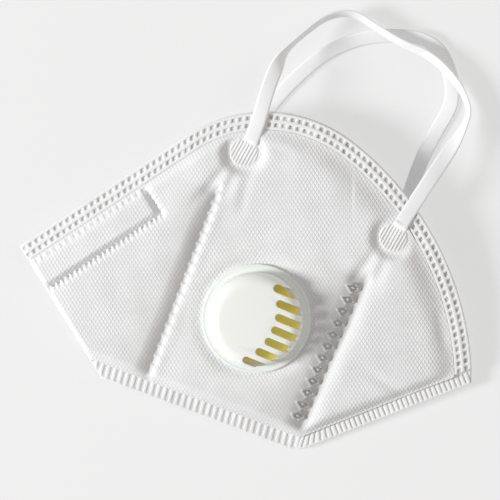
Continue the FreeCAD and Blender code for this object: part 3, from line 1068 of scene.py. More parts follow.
@dataclass(frozen=True)
class WeldLine:
    """A straight line along which the layers are pressed together."""

    low: Point2
    high: Point2
    width: float = 0.4
    pitch: float = 3.7
    left_reach: float = 5.2
    right_reach: float = 0.75
    tooth: float = 0.8

    def across(self, x: Array, y: Array) -> Array:
        """Distance from the line, positive on its right."""
        return -side_distance(x, y, self.low, self.high)

    def along(self, x: Array, y: Array) -> Array:
        """Distance from the low end."""
        return along_distance(x, y, self.low, self.high)

    def length(self) -> float:
        """Distance between the two ends."""
        return float(np.linalg.norm(np.subtract(self.high, self.low)))

    def past_ends(self, x: Array, y: Array) -> Array:
        """Distance past the nearer end, 0 between the ends."""
        run = self.along(x, y)
        return np.maximum(np.maximum(-run, run - self.length()), 0)

    def moved_right(self, distance: float) -> "WeldLine":
        """The same line, moved to its right."""
        way = distance * unit(self.low, self.high)
        shift = (way[1], -way[0])
        return replace(
            self,
            low=tuple(np.add(self.low, shift)),
            high=tuple(np.add(self.high, shift)),
        )


RIB_LINE = WeldLine(PATTERN.rib_bottom, PATTERN.rib_top)
MARKS_LINE = WeldLine(
    PATTERN.marks_bottom,
    PATTERN.marks_top,
    pitch=3.3,
    left_reach=6.2,
    right_reach=2.3,
    tooth=0.0,
)


@dataclass(frozen=True)
class SoftCrease:
    """A shallow crease that runs off a weld and fades at both ends."""

    head: Point2
    way: Point2
    length: float
    depth: float
    half_width: float = 1.9

    def sunk(self, x: Array, y: Array) -> Array:
        """Depth of the crease at pattern points."""
        way = np.array(self.way) / np.hypot(*self.way)
        run = (x - self.head[0]) * way[0] + (y - self.head[1]) * way[1]
        off = (x - self.head[0]) * -way[1] + (y - self.head[1]) * way[0]
        half = self.length / 2
        fade = np.exp(-(((run - half) / half) ** 4))
        return self.depth * np.exp(-((off / self.half_width) ** 2)) * fade


SOFT_CREASES = (
    SoftCrease((-8.5, 53.0), (-0.66, -0.75), 19.0, 0.85),
    SoftCrease((-6.5, 50.5), (-0.42, -0.91), 13.0, 0.6),
    SoftCrease((-2.5, 49.5), (-0.2, -0.98), 14.0, 0.4),
    SoftCrease((41.0, 24.0), (-0.6, -0.8), 15.0, 0.8),
    SoftCrease((44.0, 21.5), (-0.35, -0.94), 11.0, 0.5),
    SoftCrease((1.0, 59.5), (0.93, -0.36), 12.0, 0.4),
    SoftCrease((38.0, -19.0), (0.86, -0.5), 16.0, 0.45),
    SoftCrease((61.0, 2.0), (0.2, -0.98), 13.0, 0.35),
)


@dataclass(frozen=True)
class NosePocket:
    """The puffed channel of the nose wire, welded down around it."""

    inset: float = 17.6
    end: float = 47.2
    saw_pitch: float = 1.9
    dot_inset: float = 7.3
    dot_pitch: float = 2.55
    dot_depth: float = 0.55


@dataclass
class FabricHeights:
    """How far the outer fabric stands off the half's inner face, everywhere."""

    puff: float
    band: float = 1.15
    ridge_round: float = 2.2
    keel: float = 0.8
    valley: float = 0.9
    flange: float = 2.42
    weld: float = 1.45
    detail: float = 1.0
    pocket: NosePocket = NosePocket()
    mark_pitch: float = 4.3
    mark_height: float = 0.85

    def sink(
        self,
        height: Array,
        low: float,
        distance: Array,
        reach: Union[float, Array],
    ) -> Array:
        """Draws the surface down to low where distance is 0.

        Args:
            height: The surface so far.
            low: Its height at the feature.
            distance: Distance from the feature, 0 or more.
            reach: How far the slope runs.

        Returns:
            The new surface.
        """
        share = 1 - np.exp(-((np.maximum(distance, 0) / reach) ** 2))
        return low + (height - low) * share

    def cushion(self, x: Array, y: Array) -> Array:
        """Height of the plain fabric, with its slow unevenness."""
        slow = np.sin(x * 0.13 + y * 0.07) * np.cos(y * 0.11 - x * 0.05)
        quick = np.sin(x * 0.41 - y * 0.23 + 1.0) * np.sin(y * 0.37 + x * 0.17)
        broad = np.sin(x * 0.075 - y * 0.05 + 0.6) * np.sin(y * 0.083 + x * 0.021 + 2.0)
        return self.puff + self.detail * (0.24 * slow + 0.07 * quick + 0.3 * broad)

    def press_line(self, height: Array, x: Array, y: Array, line: WeldLine) -> Array:
        """Presses a straight welded line with a toothed side into the surface.

        Args:
            height: The surface so far.
            x: Pattern x.
            y: Pattern y.
            line: The welded line.

        Returns:
            The new surface.
        """
        across = line.across(x, y)
        half = line.width / 2
        teeth = bumps(line.along(x, y), line.pitch, 0.62, 0.97)
        left = np.maximum(-across - half, 0)
        right = np.maximum(across - half + line.tooth * teeth * self.detail, 0)
        slope = 0.8 * (1 - (1 - np.clip(left / line.left_reach, 0, 1)) ** 1.7)
        slope = slope + 0.2 * soft_step(left, 0.0, 2.6 * line.left_reach)
        rise = 1 - np.exp(-((right / line.right_reach) ** 1.3))
        share = np.where(across < -half - 1.05, slope, np.maximum(slope, rise))
        near = np.exp(-((line.past_ends(x, y) / 3.5) ** 2))
        share = 1 - (1 - share) * near
        bulge = 0.3 * line.tooth * np.exp(-(((across - half - 2.3) / 1.9) ** 2)) * near
        return self.valley + (height - self.valley) * share + bulge * self.detail

    def press_pocket(self, height: Array, x: Array, y: Array) -> Array:
        """Presses the lines around the nose pocket and its row of dots.

        Args:
            height: The surface so far.
            x: Pattern x.
            y: Pattern y.

        Returns:
            The new surface.
        """
        pocket = self.pocket
        hem = hem_distance(x, y)
        ridge = side_distance(x, y, PATTERN.nose_tip, PATTERN.seam_front)
        run = along_distance(x, y, PATTERN.nose_tip, PATTERN.nose_end)
        # the long lower line
        saw = bumps(run, pocket.saw_pitch, 0.4, 0.75)
        past = hem - pocket.inset
        fall = 1 - (1 - np.clip(-past / 2.6, 0, 1)) ** 1.6
        climb = 1 - np.exp(-(((np.maximum(past, 0) + 0.45 * saw) / 0.7) ** 1.3))
        share = np.where(past > 0, climb, np.maximum(fall, climb * (past > -0.4)))
        low = self.valley + 0.3
        reach = self.detail * soft_step(ridge, 49.0, 47.0)
        height = height + (low - height) * (1 - share) * reach
        # the short line across the pocket's end
        saw = bumps(hem, pocket.saw_pitch, 0.4, 0.75)
        past = ridge - pocket.end
        fall = 1 - (1 - np.clip(-past / 2.4, 0, 1)) ** 1.6
        climb = 1 - np.exp(-(((np.maximum(past, 0) + 0.35 * saw) / 0.8) ** 1.3))
        share = np.where(past > 0, climb, fall)
        low = self.valley + 0.4
        reach = soft_step(hem, 6.0, 7.0) * soft_step(hem, 18.2, 17.6) * self.detail
        height = height + (low - height) * (1 - share) * reach
        # the row of weld dots along its top
        dots = bumps(run, pocket.dot_pitch, 0.35, 0.75)
        row = np.exp(-(((hem - pocket.dot_inset) / 0.75) ** 2))
        row = row * soft_step(ridge, 50.0, 46.0)
        return height - pocket.dot_depth * dots * row * self.detail

    def marks(self, x: Array, y: Array) -> Array:
        """Raised plain lozenges along the wide welded band.

        Args:
            x: Pattern x.
            y: Pattern y.

        Returns:
            Height to add, mm.
        """
        across = MARKS_LINE.across(x, y) + 0.7
        along = MARKS_LINE.along(x, y)
        inside = along - (np.floor(along / self.mark_pitch) + 0.5) * self.mark_pitch
        spread = np.abs(inside) + np.abs(across) * 0.7
        shape = np.minimum(np.abs(spread - 1.6) - 0.3, spread - 0.6)
        mark = soft_step(shape, 0.22, -0.12)
        held = (along > 1.0) & (along < MARKS_LINE.length() - 1.0) & (np.abs(across) < 2.9)
        return np.where(held, self.mark_height * mark * self.detail, 0.0)

    def shade(self, x: Array, y: Array) -> Array:
        """Painted shade on the outer fabric: darker on and left of the rib and the marks band,
        whose slopes face away from the key light, and on the panel below the valve, which
        slopes away.

        Args:
            x: Pattern x.
            y: Pattern y.

        Returns:
            0 for no painted shade to 1 for the darkest.
        """
        total = np.zeros(np.shape(x))
        for line, start, end, left, amount in (
            (RIB_LINE, -0.3, 0.1, 5.0, 0.85),
            (MARKS_LINE, -2.4, 2.6, 4.6, 0.8),
        ):
            across = line.across(x, y)
            side = np.exp(-((np.maximum(start - across, 0) / left) ** 1.3))
            side = side * np.exp(-((np.maximum(across - end, 0) / 0.7) ** 2))
            ends = np.exp(-((line.past_ends(x, y) / 3.0) ** 2))
            total = total + amount * side * ends
        below_valve = np.hypot((x + 6.0) / 19.0, (y + 30.0) / 9.0)
        total = total + 0.3 * np.exp(-(below_valve**2))
        return np.clip(total, 0, 1) * self.detail

    def heights(self, x: Array, y: Array) -> Array:
        """Height of the outer face at pattern points.

        Args:
            x: Pattern x.
            y: Pattern y.

        Returns:
            Heights in mm.
        """
        hem = hem_distance(x, y)
        keel = side_distance(x, y, PATTERN.seam_front, PATTERN.seam_bottom)
        chin = side_distance(x, y, PATTERN.seam_bottom, PATTERN.seam_rear)
        height = self.cushion(x, y)
        # down to the seams, and more gently to the hem on the chin's side
        height = self.sink(height, self.keel, keel, 1.5)
        height = self.sink(height, 0.75 * self.keel, chin, 2.0)
        gentle = 1.9 + 3.6 * soft_step(x, -12.0, 26.0)
        height = self.sink(height, self.band, hem - 5.6, gentle)
        height = self.press_pocket(height, x, y)
        height = self.press_line(height, x, y, RIB_LINE)
        height = self.press_line(height, x, y, MARKS_LINE.moved_right(1.9))
        height = height + self.marks(x, y)
        for crease in SOFT_CREASES:
            height = height - self.detail * crease.sunk(x, y)
        # flat round places for the ear welds and the valve's flange
        for spot in (PATTERN.front_weld, PATTERN.rear_weld):
            away = np.hypot(x - spot[0], y - spot[1]) - 5.4
            height = self.sink(height, self.weld, away, 2.0)
        height = self.sink(height, self.flange, np.hypot(x, y) - 18.6, 2.6)
        # the folded nose ridge, rounded right down to the inner face
        ridge = side_distance(x, y, PATTERN.nose_tip, PATTERN.seam_front)
        share = np.clip(ridge / self.ridge_round, 0, 1)
        return height * np.sqrt(np.maximum(1 - (1 - share) ** 2, 0))


@dataclass
class FabricHalf:
    """Outer and inner fabric, hem band and marks of one half of the mask."""

    half: Half
    heights: FabricHeights
    step: float
    overlap: float = 0.75
    turned_edge: float = -0.12
    valve_hole: float = 14.6
    dot_pitch: float = 2.55
    dot_rows: Point2 = (1.7, 4.2)
    dot_reach: float = 0.53
    hem: Hem = Hem(PATTERN.hem_band)
    edge: Hem = Hem()

    def __post_init__(self) -> None:
        """Finds where the welded lines reach the hem."""
        self.front_share = self.edge.share_near((0.3, 69.4))
        self.rear_share = self.edge.share_near((56.1, 33.5))
        self.inner_front = self.hem.share_near((-0.6, 63.4))
        self.inner_rear = self.hem.share_near((51.6, 29.6))

    def name(self, what: str) -> str:
        """A piece name with the half's side in front."""
        return f"{self.half.side.value}_{what}"

    def keel_point(self, x: float) -> Point2:
        """Point of the front seam line at a given x."""
        a, b = PATTERN.seam_front, PATTERN.seam_bottom
        share = (x - a[0]) / (b[0] - a[0])
        return (x, a[1] + (b[1] - a[1]) * share)

    def over(self, spot: Point2, reach: float, along: float = 0.0) -> Point2:
        """A point of the lower seams, moved out over the seam on the upper half."""
        if self.half.side is Side.RIGHT:
            return spot
        return (spot[0] - 0.1 * along * reach, spot[1] - reach)

    def grids(self, reach: float) -> Dict[str, Array]:
        """Plan grids of the nose, middle and chin parts.

        Args:
            reach: How far the lower edges lie over the seams, mm.

        Returns:
            One grid for each part.
        """
        front_low = self.over(self.keel_point(-37.9), reach)
        rear_low = self.over(self.keel_point(12.6), reach)
        low_front = self.over(PATTERN.seam_front, reach, -6.0)
        low_bottom = self.over(PATTERN.seam_bottom, 0.4 * reach)
        low_rear = self.over(self.chin_end(), 0.2 * reach)
        front = [front_low, PATTERN.rib_bottom, PATTERN.rib_top, PATTERN.front_weld]
        rear = [rear_low, PATTERN.marks_bottom, PATTERN.marks_top, PATTERN.rear_weld]
        front.append(tuple(self.hem.between(self.inner_front, self.inner_front, 1)[0]))
        rear.append(tuple(self.hem.between(self.inner_rear, self.inner_rear, 1)[0]))
        tall = int(92 / self.step)
        front_line = polyline(front, tall)
        rear_line = polyline(rear, tall)
        hem_start = tuple(self.hem.line()[0])
        chin_share = self.hem.share_near((71.0, 2.0))
        wide = int(66 / self.step)
        nose = coons(
            polyline([low_front, front_low], wide),
            self.hem.between(0, self.inner_front, wide),
            polyline([low_front, hem_start], tall),
            front_line,
        )
        wide = int(56 / self.step)
        middle = coons(
            polyline([front_low, rear_low], wide),
            self.hem.between(self.inner_front, self.inner_rear, wide),
            front_line,
            rear_line,
        )
        wide = int(52 / self.step)
        chin = coons(
            polyline([rear_low, low_bottom, low_rear], wide),
            self.hem.between(self.inner_rear, chin_share, wide),
            rear_line,
            polyline(
                [low_rear, *map(tuple, self.hem.between(0.999, chin_share, 40))], tall
            ),
        )
        return {"nose": nose, "middle": middle, "chin": chin}

    def chin_end(self) -> Point2:
        """Last point of the hem's inner line, on the chin seam."""
        return tuple(self.hem.line()[-1])

    def carry(self, piece: bpy.types.Object, part: str) -> None:
        """Ties a middle piece to its body; for any other piece only bakes its transform into
        its mesh.
        """
        if part == "middle":
            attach(piece, self.half.body("middle"))
            return
        start, end = self.half.crease(part == "nose")
        self.half.body("middle")
        self.half.body(part)
        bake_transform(piece)

    def hole(self, part: str) -> float:
        """Radius of the valve's hole in a part, or 0."""
        has_valve = self.half.side is Side.LEFT and part == "middle"
        return self.valve_hole if has_valve else 0.0

    def outside_hole(self, plan: Array) -> Array:
        """Which pattern points lie clear of the valve's hole."""
        return np.hypot(plan[:, 0], plan[:, 1]) > self.valve_hole

    def declare(self, piece: bpy.types.Object, grid: Array, hole: float) -> None:
        """Logs a panel's flat size and area, as a sheet cut flat to its pattern.

        Args:
            piece: The panel.
            grid: Its flat pattern, mm.
            hole: Radius of the valve's hole in it, mm, or 0.
        """
        across = grid[1:, 1:] - grid[:-1, :-1]
        other = grid[1:, :-1] - grid[:-1, 1:]
        cross = across[..., 0] * other[..., 1] - across[..., 1] * other[..., 0]
        area = abs(float(cross.sum())) / 2 - math.pi * hole**2
        wide, long = np.ptp(grid.reshape(-1, 2), axis=0)
        size = (float(wide) * MM, float(long) * MM)
        area * MM * MM
        LOG.info("sheet %s %.4f by %.4f, %.6f m2", piece.name, *size, area * MM * MM)

    def build_fabric(self, part: str, grid: Array, palette: Palette) -> None:
        """Makes the outer fabric of one part.

        Args:
            part: nose, middle or chin.
            grid: The part's flat pattern.
            palette: The finishes.
        """
        x, y = grid[..., 0], grid[..., 1]
        high = self.heights.heights(x, y)
        if self.half.side is Side.LEFT:
            # the lower edge turns down onto the seam
            x, y = (np.concatenate([a[:1], a]) for a in (x, y))
            high = np.concatenate([np.full_like(high[:1], self.turned_edge), high])
        skin = Surface()
        skin.add_grid(
            self.half.place(x, y, high),
            np.stack([x, y], axis=-1),
            # painted shade of the slopes, stored with the pressed tone of each point
            self.heights.shade(x, y),
            flip=self.half.side is Side.RIGHT,
        )
        hole = self.hole(part)
        name = self.name(f"{part}_fabric")
        piece = skin.build(name, self.outside_hole if hole else None)
        dress(piece, palette.outer)
        layers = ("outer", "support", "filter")
        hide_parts(*[self.name(f"{part}_{layer}") for layer in layers])
        self.carry(piece, part)
        self.declare(piece, grid, hole)

    def build_lining(self, part: str, grid: Array, palette: Palette) -> None:
        """Makes the lining of one part, on every third line of its pattern.

        Args:
            part: nose, middle or chin.
            grid: The part's flat pattern.
            palette: The finishes.
        """
        coarse = np.concatenate([grid[::3, ::3], grid[-1:, ::3]], axis=0)
        edge = np.concatenate([grid[::3, -1:], grid[-1:, -1:]], axis=0)
        coarse = np.concatenate([coarse, edge], axis=1)
        x, y = coarse[..., 0], coarse[..., 1]
        wave = 0.28 + 0.12 * np.sin(x * 0.21 + 1.3) * np.sin(y * 0.17)
        lining = Surface()
        lining.add_grid(
            self.half.place(x, y, wave), coarse, flip=self.half.side is Side.LEFT
        )
        hole = self.hole(part)
        name = self.name(f"{part}_lining")
        piece = lining.build(name, self.outside_hole if hole else None)
        dress(piece, palette.inner)
        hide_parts(self.name(f"{part}_inner"))
        self.carry(piece, part)
        self.declare(piece, grid, hole)

    def hem_columns(self) -> Tuple[Array, int]:
        """Places across the hem band, tight at the sides of each weld dot.

        Returns:
            Shares of the hem's length, and how many dots one row has.
        """
        line = self.edge.line()
        total = float(np.linalg.norm(np.diff(line, axis=0), axis=1).sum())
        count = round(total / self.dot_pitch)
        sides = (0.0, 0.215, 0.285, 0.5, 0.715, 0.785)
        columns = [(i + side) / count for i in range(count) for side in sides]
        return np.array([*columns, 1.0]), count

    def hem_band(self) -> Tuple[Array, Array, Array, Array]:
        """Shape of the whole hem band.

        Returns:
            Shares of its columns, flat pattern, heights and how far each point
            is pressed; one row for each distance from the edge.
        """
        columns, count = self.hem_columns()
        # distances from the edge: its rounding, then each side of the two dot rows
        depths = [0.0, 0.0, 0.12, 0.45, 0.85, 1.0, 1.18, 1.7, 2.22, 2.4, 2.75, 3.3, 3.52]
        depths += [3.7, 4.2, 4.72, 4.9, 5.2, 5.7, 6.3, 6.9]
        rounding = [0.42, 0.72, 0.95]
        number = np.floor(columns * count + 1e-6)
        phase = columns * count - number
        uneven = 0.8 + 0.2 * np.sin(number * 2.399) * np.cos(number * 0.71)
        dot = np.where(np.abs(phase - 0.5) < 0.23, uneven, 0.0)
        thin = 0.55 + 0.45 * soft_step(columns, 0.3, 0.62)
        plan, high, press_and_shade_rows = [], [], []
        for index, depth in enumerate(depths):
            plan.append(spread(Hem(depth).line(), columns))
            in_row = any(abs(depth - row) < self.dot_reach for row in self.dot_rows)
            press_and_shade = dot if in_row else np.zeros_like(dot)
            between = min(max((depth - 2.2) / 1.6, 0), 1)
            level = self.heights.band + 0.18 * math.sin(math.pi * between) - 0.42 * press_and_shade
            if index < len(rounding):
                level = level * rounding[index]
            elif index == len(rounding):
                level = level + 0.12
            high.append(level)
            press_and_shade_rows.append(press_and_shade * 0.85 * thin)
        plan, high = np.array(plan), np.array(high)
        ridge = side_distance(plan[..., 0], plan[..., 1], PATTERN.nose_tip, PATTERN.seam_front)
        chin = side_distance(plan[..., 0], plan[..., 1], PATTERN.seam_bottom, PATTERN.seam_rear)
        share = np.minimum(np.clip(ridge / 1.6, 0, 1), np.clip(chin / 0.8, 0, 1))
        high = high * np.sqrt(np.maximum(1 - (1 - share) ** 2, 0.0))
        high[np.array(depths) > 6.2] -= 0.35
        return columns, plan, high, np.array(press_and_shade_rows)

    def build_hem(self, palette: Palette) -> None:
        """Makes the hem band with its two rows of square weld dots."""
        columns, plan, high, press_and_shade_rows = self.hem_band()
        back = np.vstack([high[:1], np.full_like(high[1:], 0.12)]) + 0.1 * press_and_shade_rows
        spans = {
            "nose": (0.0, self.front_share),
            "middle": (self.front_share, self.rear_share),
            "chin": (self.rear_share, 1.0),
        }
        outwards = self.half.side is Side.LEFT
        for part, span in spans.items():
            first, last = np.searchsorted(columns, np.array(span) - 1e-9)
            cut = slice(first, last + 1)
            x, y = plan[:, cut, 0], plan[:, cut, 1]
            band = Surface()
            for level, flip in ((high, outwards), (back, not outwards)):
                points = self.half.place(x, y, level[:, cut])
                band.add_grid(points, plan[:, cut], press_and_shade_rows[:, cut], flip=flip)
            piece = band.build(self.name(f"{part}_hem"))
            dress(piece, palette.fused)
            self.carry(piece, part)

    def build(self, palette: Palette) -> None:
        """Makes every fabric piece of the half."""
        bare = self.grids(0.0)
        for part, grid in self.grids(self.overlap).items():
            self.build_fabric(part, grid, palette)
            self.build_lining(part, bare[part], palette)
        self.build_hem(palette)


# --------------------------------------------------------------------------
# Seams, welds and marks
# --------------------------------------------------------------------------


@dataclass
class WeldedSeam:
    """A flat welded seam with pressed bars across it."""

    name: str
    body: str
    inner: Tuple[Point2, Point2]
    outer: Tuple[Point2, Point2]
    pitch: float
    lean: float
    bar: float
    # how dark the grooves are drawn: pressed tone of the weld and painted shade in the grooves
    shade: float
    closing: Tuple[float, float]
    corner: Tuple[float, float]
    node: str

    def build(self, palette: Palette) -> bpy.types.Object:
        """Makes the seam band, both faces and its edge."""
        inner = np.array(self.inner)
        outer = np.array(self.outer)
        length = float(np.linalg.norm(inner[1] - inner[0]))
        count = round(length / self.pitch)
        half = self.bar / 2
        shares = (0.0, half * 0.8, half + 0.05, half + 0.12, 0.5)
        shares = (*shares, 0.88 - half, 0.95 - half, 1 - half * 0.8)
        along = np.array([(i + s) for i in range(count) for s in shares] + [count]) / count
        across = [0.0, 0.07, 0.15, 0.21, 0.35, 0.5, 0.65, 0.78, 0.86, 0.92, 0.98, 1.0, 1.0]
        edge = [1.0] * 11 + [0.75, 0.0]
        phase = (along * count) % 1.0
        ridge = soft_step(np.minimum(phase, 1 - phase), half + 0.1, half)
        way = (inner[1] - inner[0]) / length
        deep = abs(way[0] * (outer[0] - inner[0])[1] - way[1] * (outer[0] - inner[0])[0])
        starts = min(inner[0] @ way, outer[0] @ way) - 1.0
        stops = max(inner[1] @ way, outer[1] @ way) + 1.0
        surface = Surface()
        for top in (True, False):
            points, plan, press_and_shade_rows = [], [], []
            for share, rim in zip(across, edge):
                ends = inner + (outer - inner) * share
                spots = starts + (stops - starts) * along
                fan = ends @ way - inner @ way
                first = fan[0] * soft_step(spots - inner[0] @ way, 12.0, 0.0)
                final = fan[1] * soft_step(inner[1] @ way - spots, 12.0, 0.0)
                first, final = (
                    turn * (depth > 0) for turn, depth in zip((first, final), self.corner)
                )
                spots = spots + self.lean * deep * share + first + final
                low, high = ends @ way
                spots = np.clip(spots, low, high)
                line = ends[0] + way * (spots - low)[:, None]
                first = np.clip((low + 4.0 - spots) / 4.0, 0, 1) ** 2
                final = np.clip((spots - high + 4.0) / 4.0, 0, 1) ** 2
                inset = share * (self.corner[0] * first + self.corner[1] * final)
                line = line + np.array([-way[1], way[0]]) * inset[:, None]
                groove = (1 - ridge) * soft_step(np.array(share), 0.03, 0.15)
                groove = groove * soft_step(np.array(share), 0.93, 0.84)
                ends_in = np.minimum(
                    (spots - low) / self.closing[0], (high - spots) / self.closing[1]
                )
                ends_in = np.sqrt(1 - (1 - np.clip(ends_in, 0, 1)) ** 2)
                thick = (0.62 - 0.22 * groove) * rim * ends_in
                z = 1.75 + (thick if top else -thick)
                points.append(np.column_stack([line, self.lift(line) + z]) * MM)
                plan.append(line)
                press_and_shade_rows.append(groove * self.shade)
            surface.add_grid(
                np.array(points), np.array(plan), np.array(press_and_shade_rows), flip=top
            )
        piece = surface.build(self.name)
        dress(piece, palette.fused)
        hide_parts(self.node)
        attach(piece, self.body)
        return piece

    def lift(self, line: Array) -> Array:
        """How far the folded part under the seam rises at its points."""
        if self.body == "right_middle":
            return np.zeros(len(line))
        past = -side_distance(
            line[:, 0], line[:, 1], PATTERN.seam_bottom, PATTERN.chin_crease_top
        )
        return math.sin(math.radians(PATTERN.chin_fold)) * np.maximum(past, 0) - 0.01


@dataclass
class EarWeld:
    """A round weld that holds one end of an ear loop."""

    half: Half
    name: str
    centre: Point2
    height: float = 1.5
    radius: float = 4.9
    direction: float = 60.3
    pitch: float = 1.1
    tab: float = 5.6

    def build(self, palette: Palette, node: str) -> bpy.types.Object:
        """Makes the ridged disc."""
        rim = [self.radius + 0.25, self.radius + 0.35]
        rings = np.concatenate([np.linspace(0.02, self.radius, 26), rim])
        turn = np.linspace(0, 2 * math.pi, 97)
        radius, angle = np.meshgrid(rings, turn, indexing="ij")
        x = self.centre[0] + radius * np.cos(angle)
        y = self.centre[1] + radius * np.sin(angle)
        way = math.radians(self.direction)
        off = -(x - self.centre[0]) * math.sin(way) + (y - self.centre[1]) * math.cos(way)
        ridge = 0.5 + 0.5 * np.cos(2 * math.pi * off / self.pitch)
        fade = soft_step(radius, self.radius, self.radius - 0.6)
        z = self.height + 0.32 * ridge * fade
        z = z - 0.9 * soft_step(radius, self.radius - 0.1, self.radius + 0.35)
        disc = Surface()
        disc.add_grid(
            self.half.place(x, y, z),
            np.stack([x, y], -1),
            (1 - ridge) * fade * 0.35,
            flip=self.half.side is Side.LEFT,
        )
        piece = disc.build(self.name)
        dress(piece, palette.fused)
        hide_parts(node)
        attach(piece, self.half.body("middle"))
        return piece

    def build_tab(self, palette: Palette) -> bpy.types.Object:
        """Makes the end of the band that the weld holds down."""
        way = math.radians(self.direction)
        ahead = np.array([math.cos(way), math.sin(way)])
        aside = np.array([-ahead[1], ahead[0]])
        run = np.linspace(-2.0, self.tab, 24)
        over = np.linspace(-2.5, 2.5, 13)
        s, t = np.meshgrid(run, over, indexing="ij")
        x = self.centre[0] + s * ahead[0] + t * aside[0]
        y = self.centre[1] + s * ahead[1] + t * aside[1]
        rise = soft_step(s, 3.0, 5.4)
        top = self.height + 0.05 + 1.08 * rise - 0.42 * soft_step(s, 4.7, self.tab)
        top = top - 0.25 * (np.abs(t) / 2.5) ** 6
        tab = Surface()
        plan = np.stack([s, t], -1)
        flip = self.half.side is Side.RIGHT
        tab.add_grid(self.half.place(x, y, top), plan, flip=not flip)
        tab.add_grid(self.half.place(x, y, top - 0.6), plan, flip=flip)
        piece = tab.build(self.name + "_tab")
        dress(piece, palette.elastic)
        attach(piece, self.half.body("middle"))
        return piece


# --------------------------------------------------------------------------
# Valve
# --------------------------------------------------------------------------


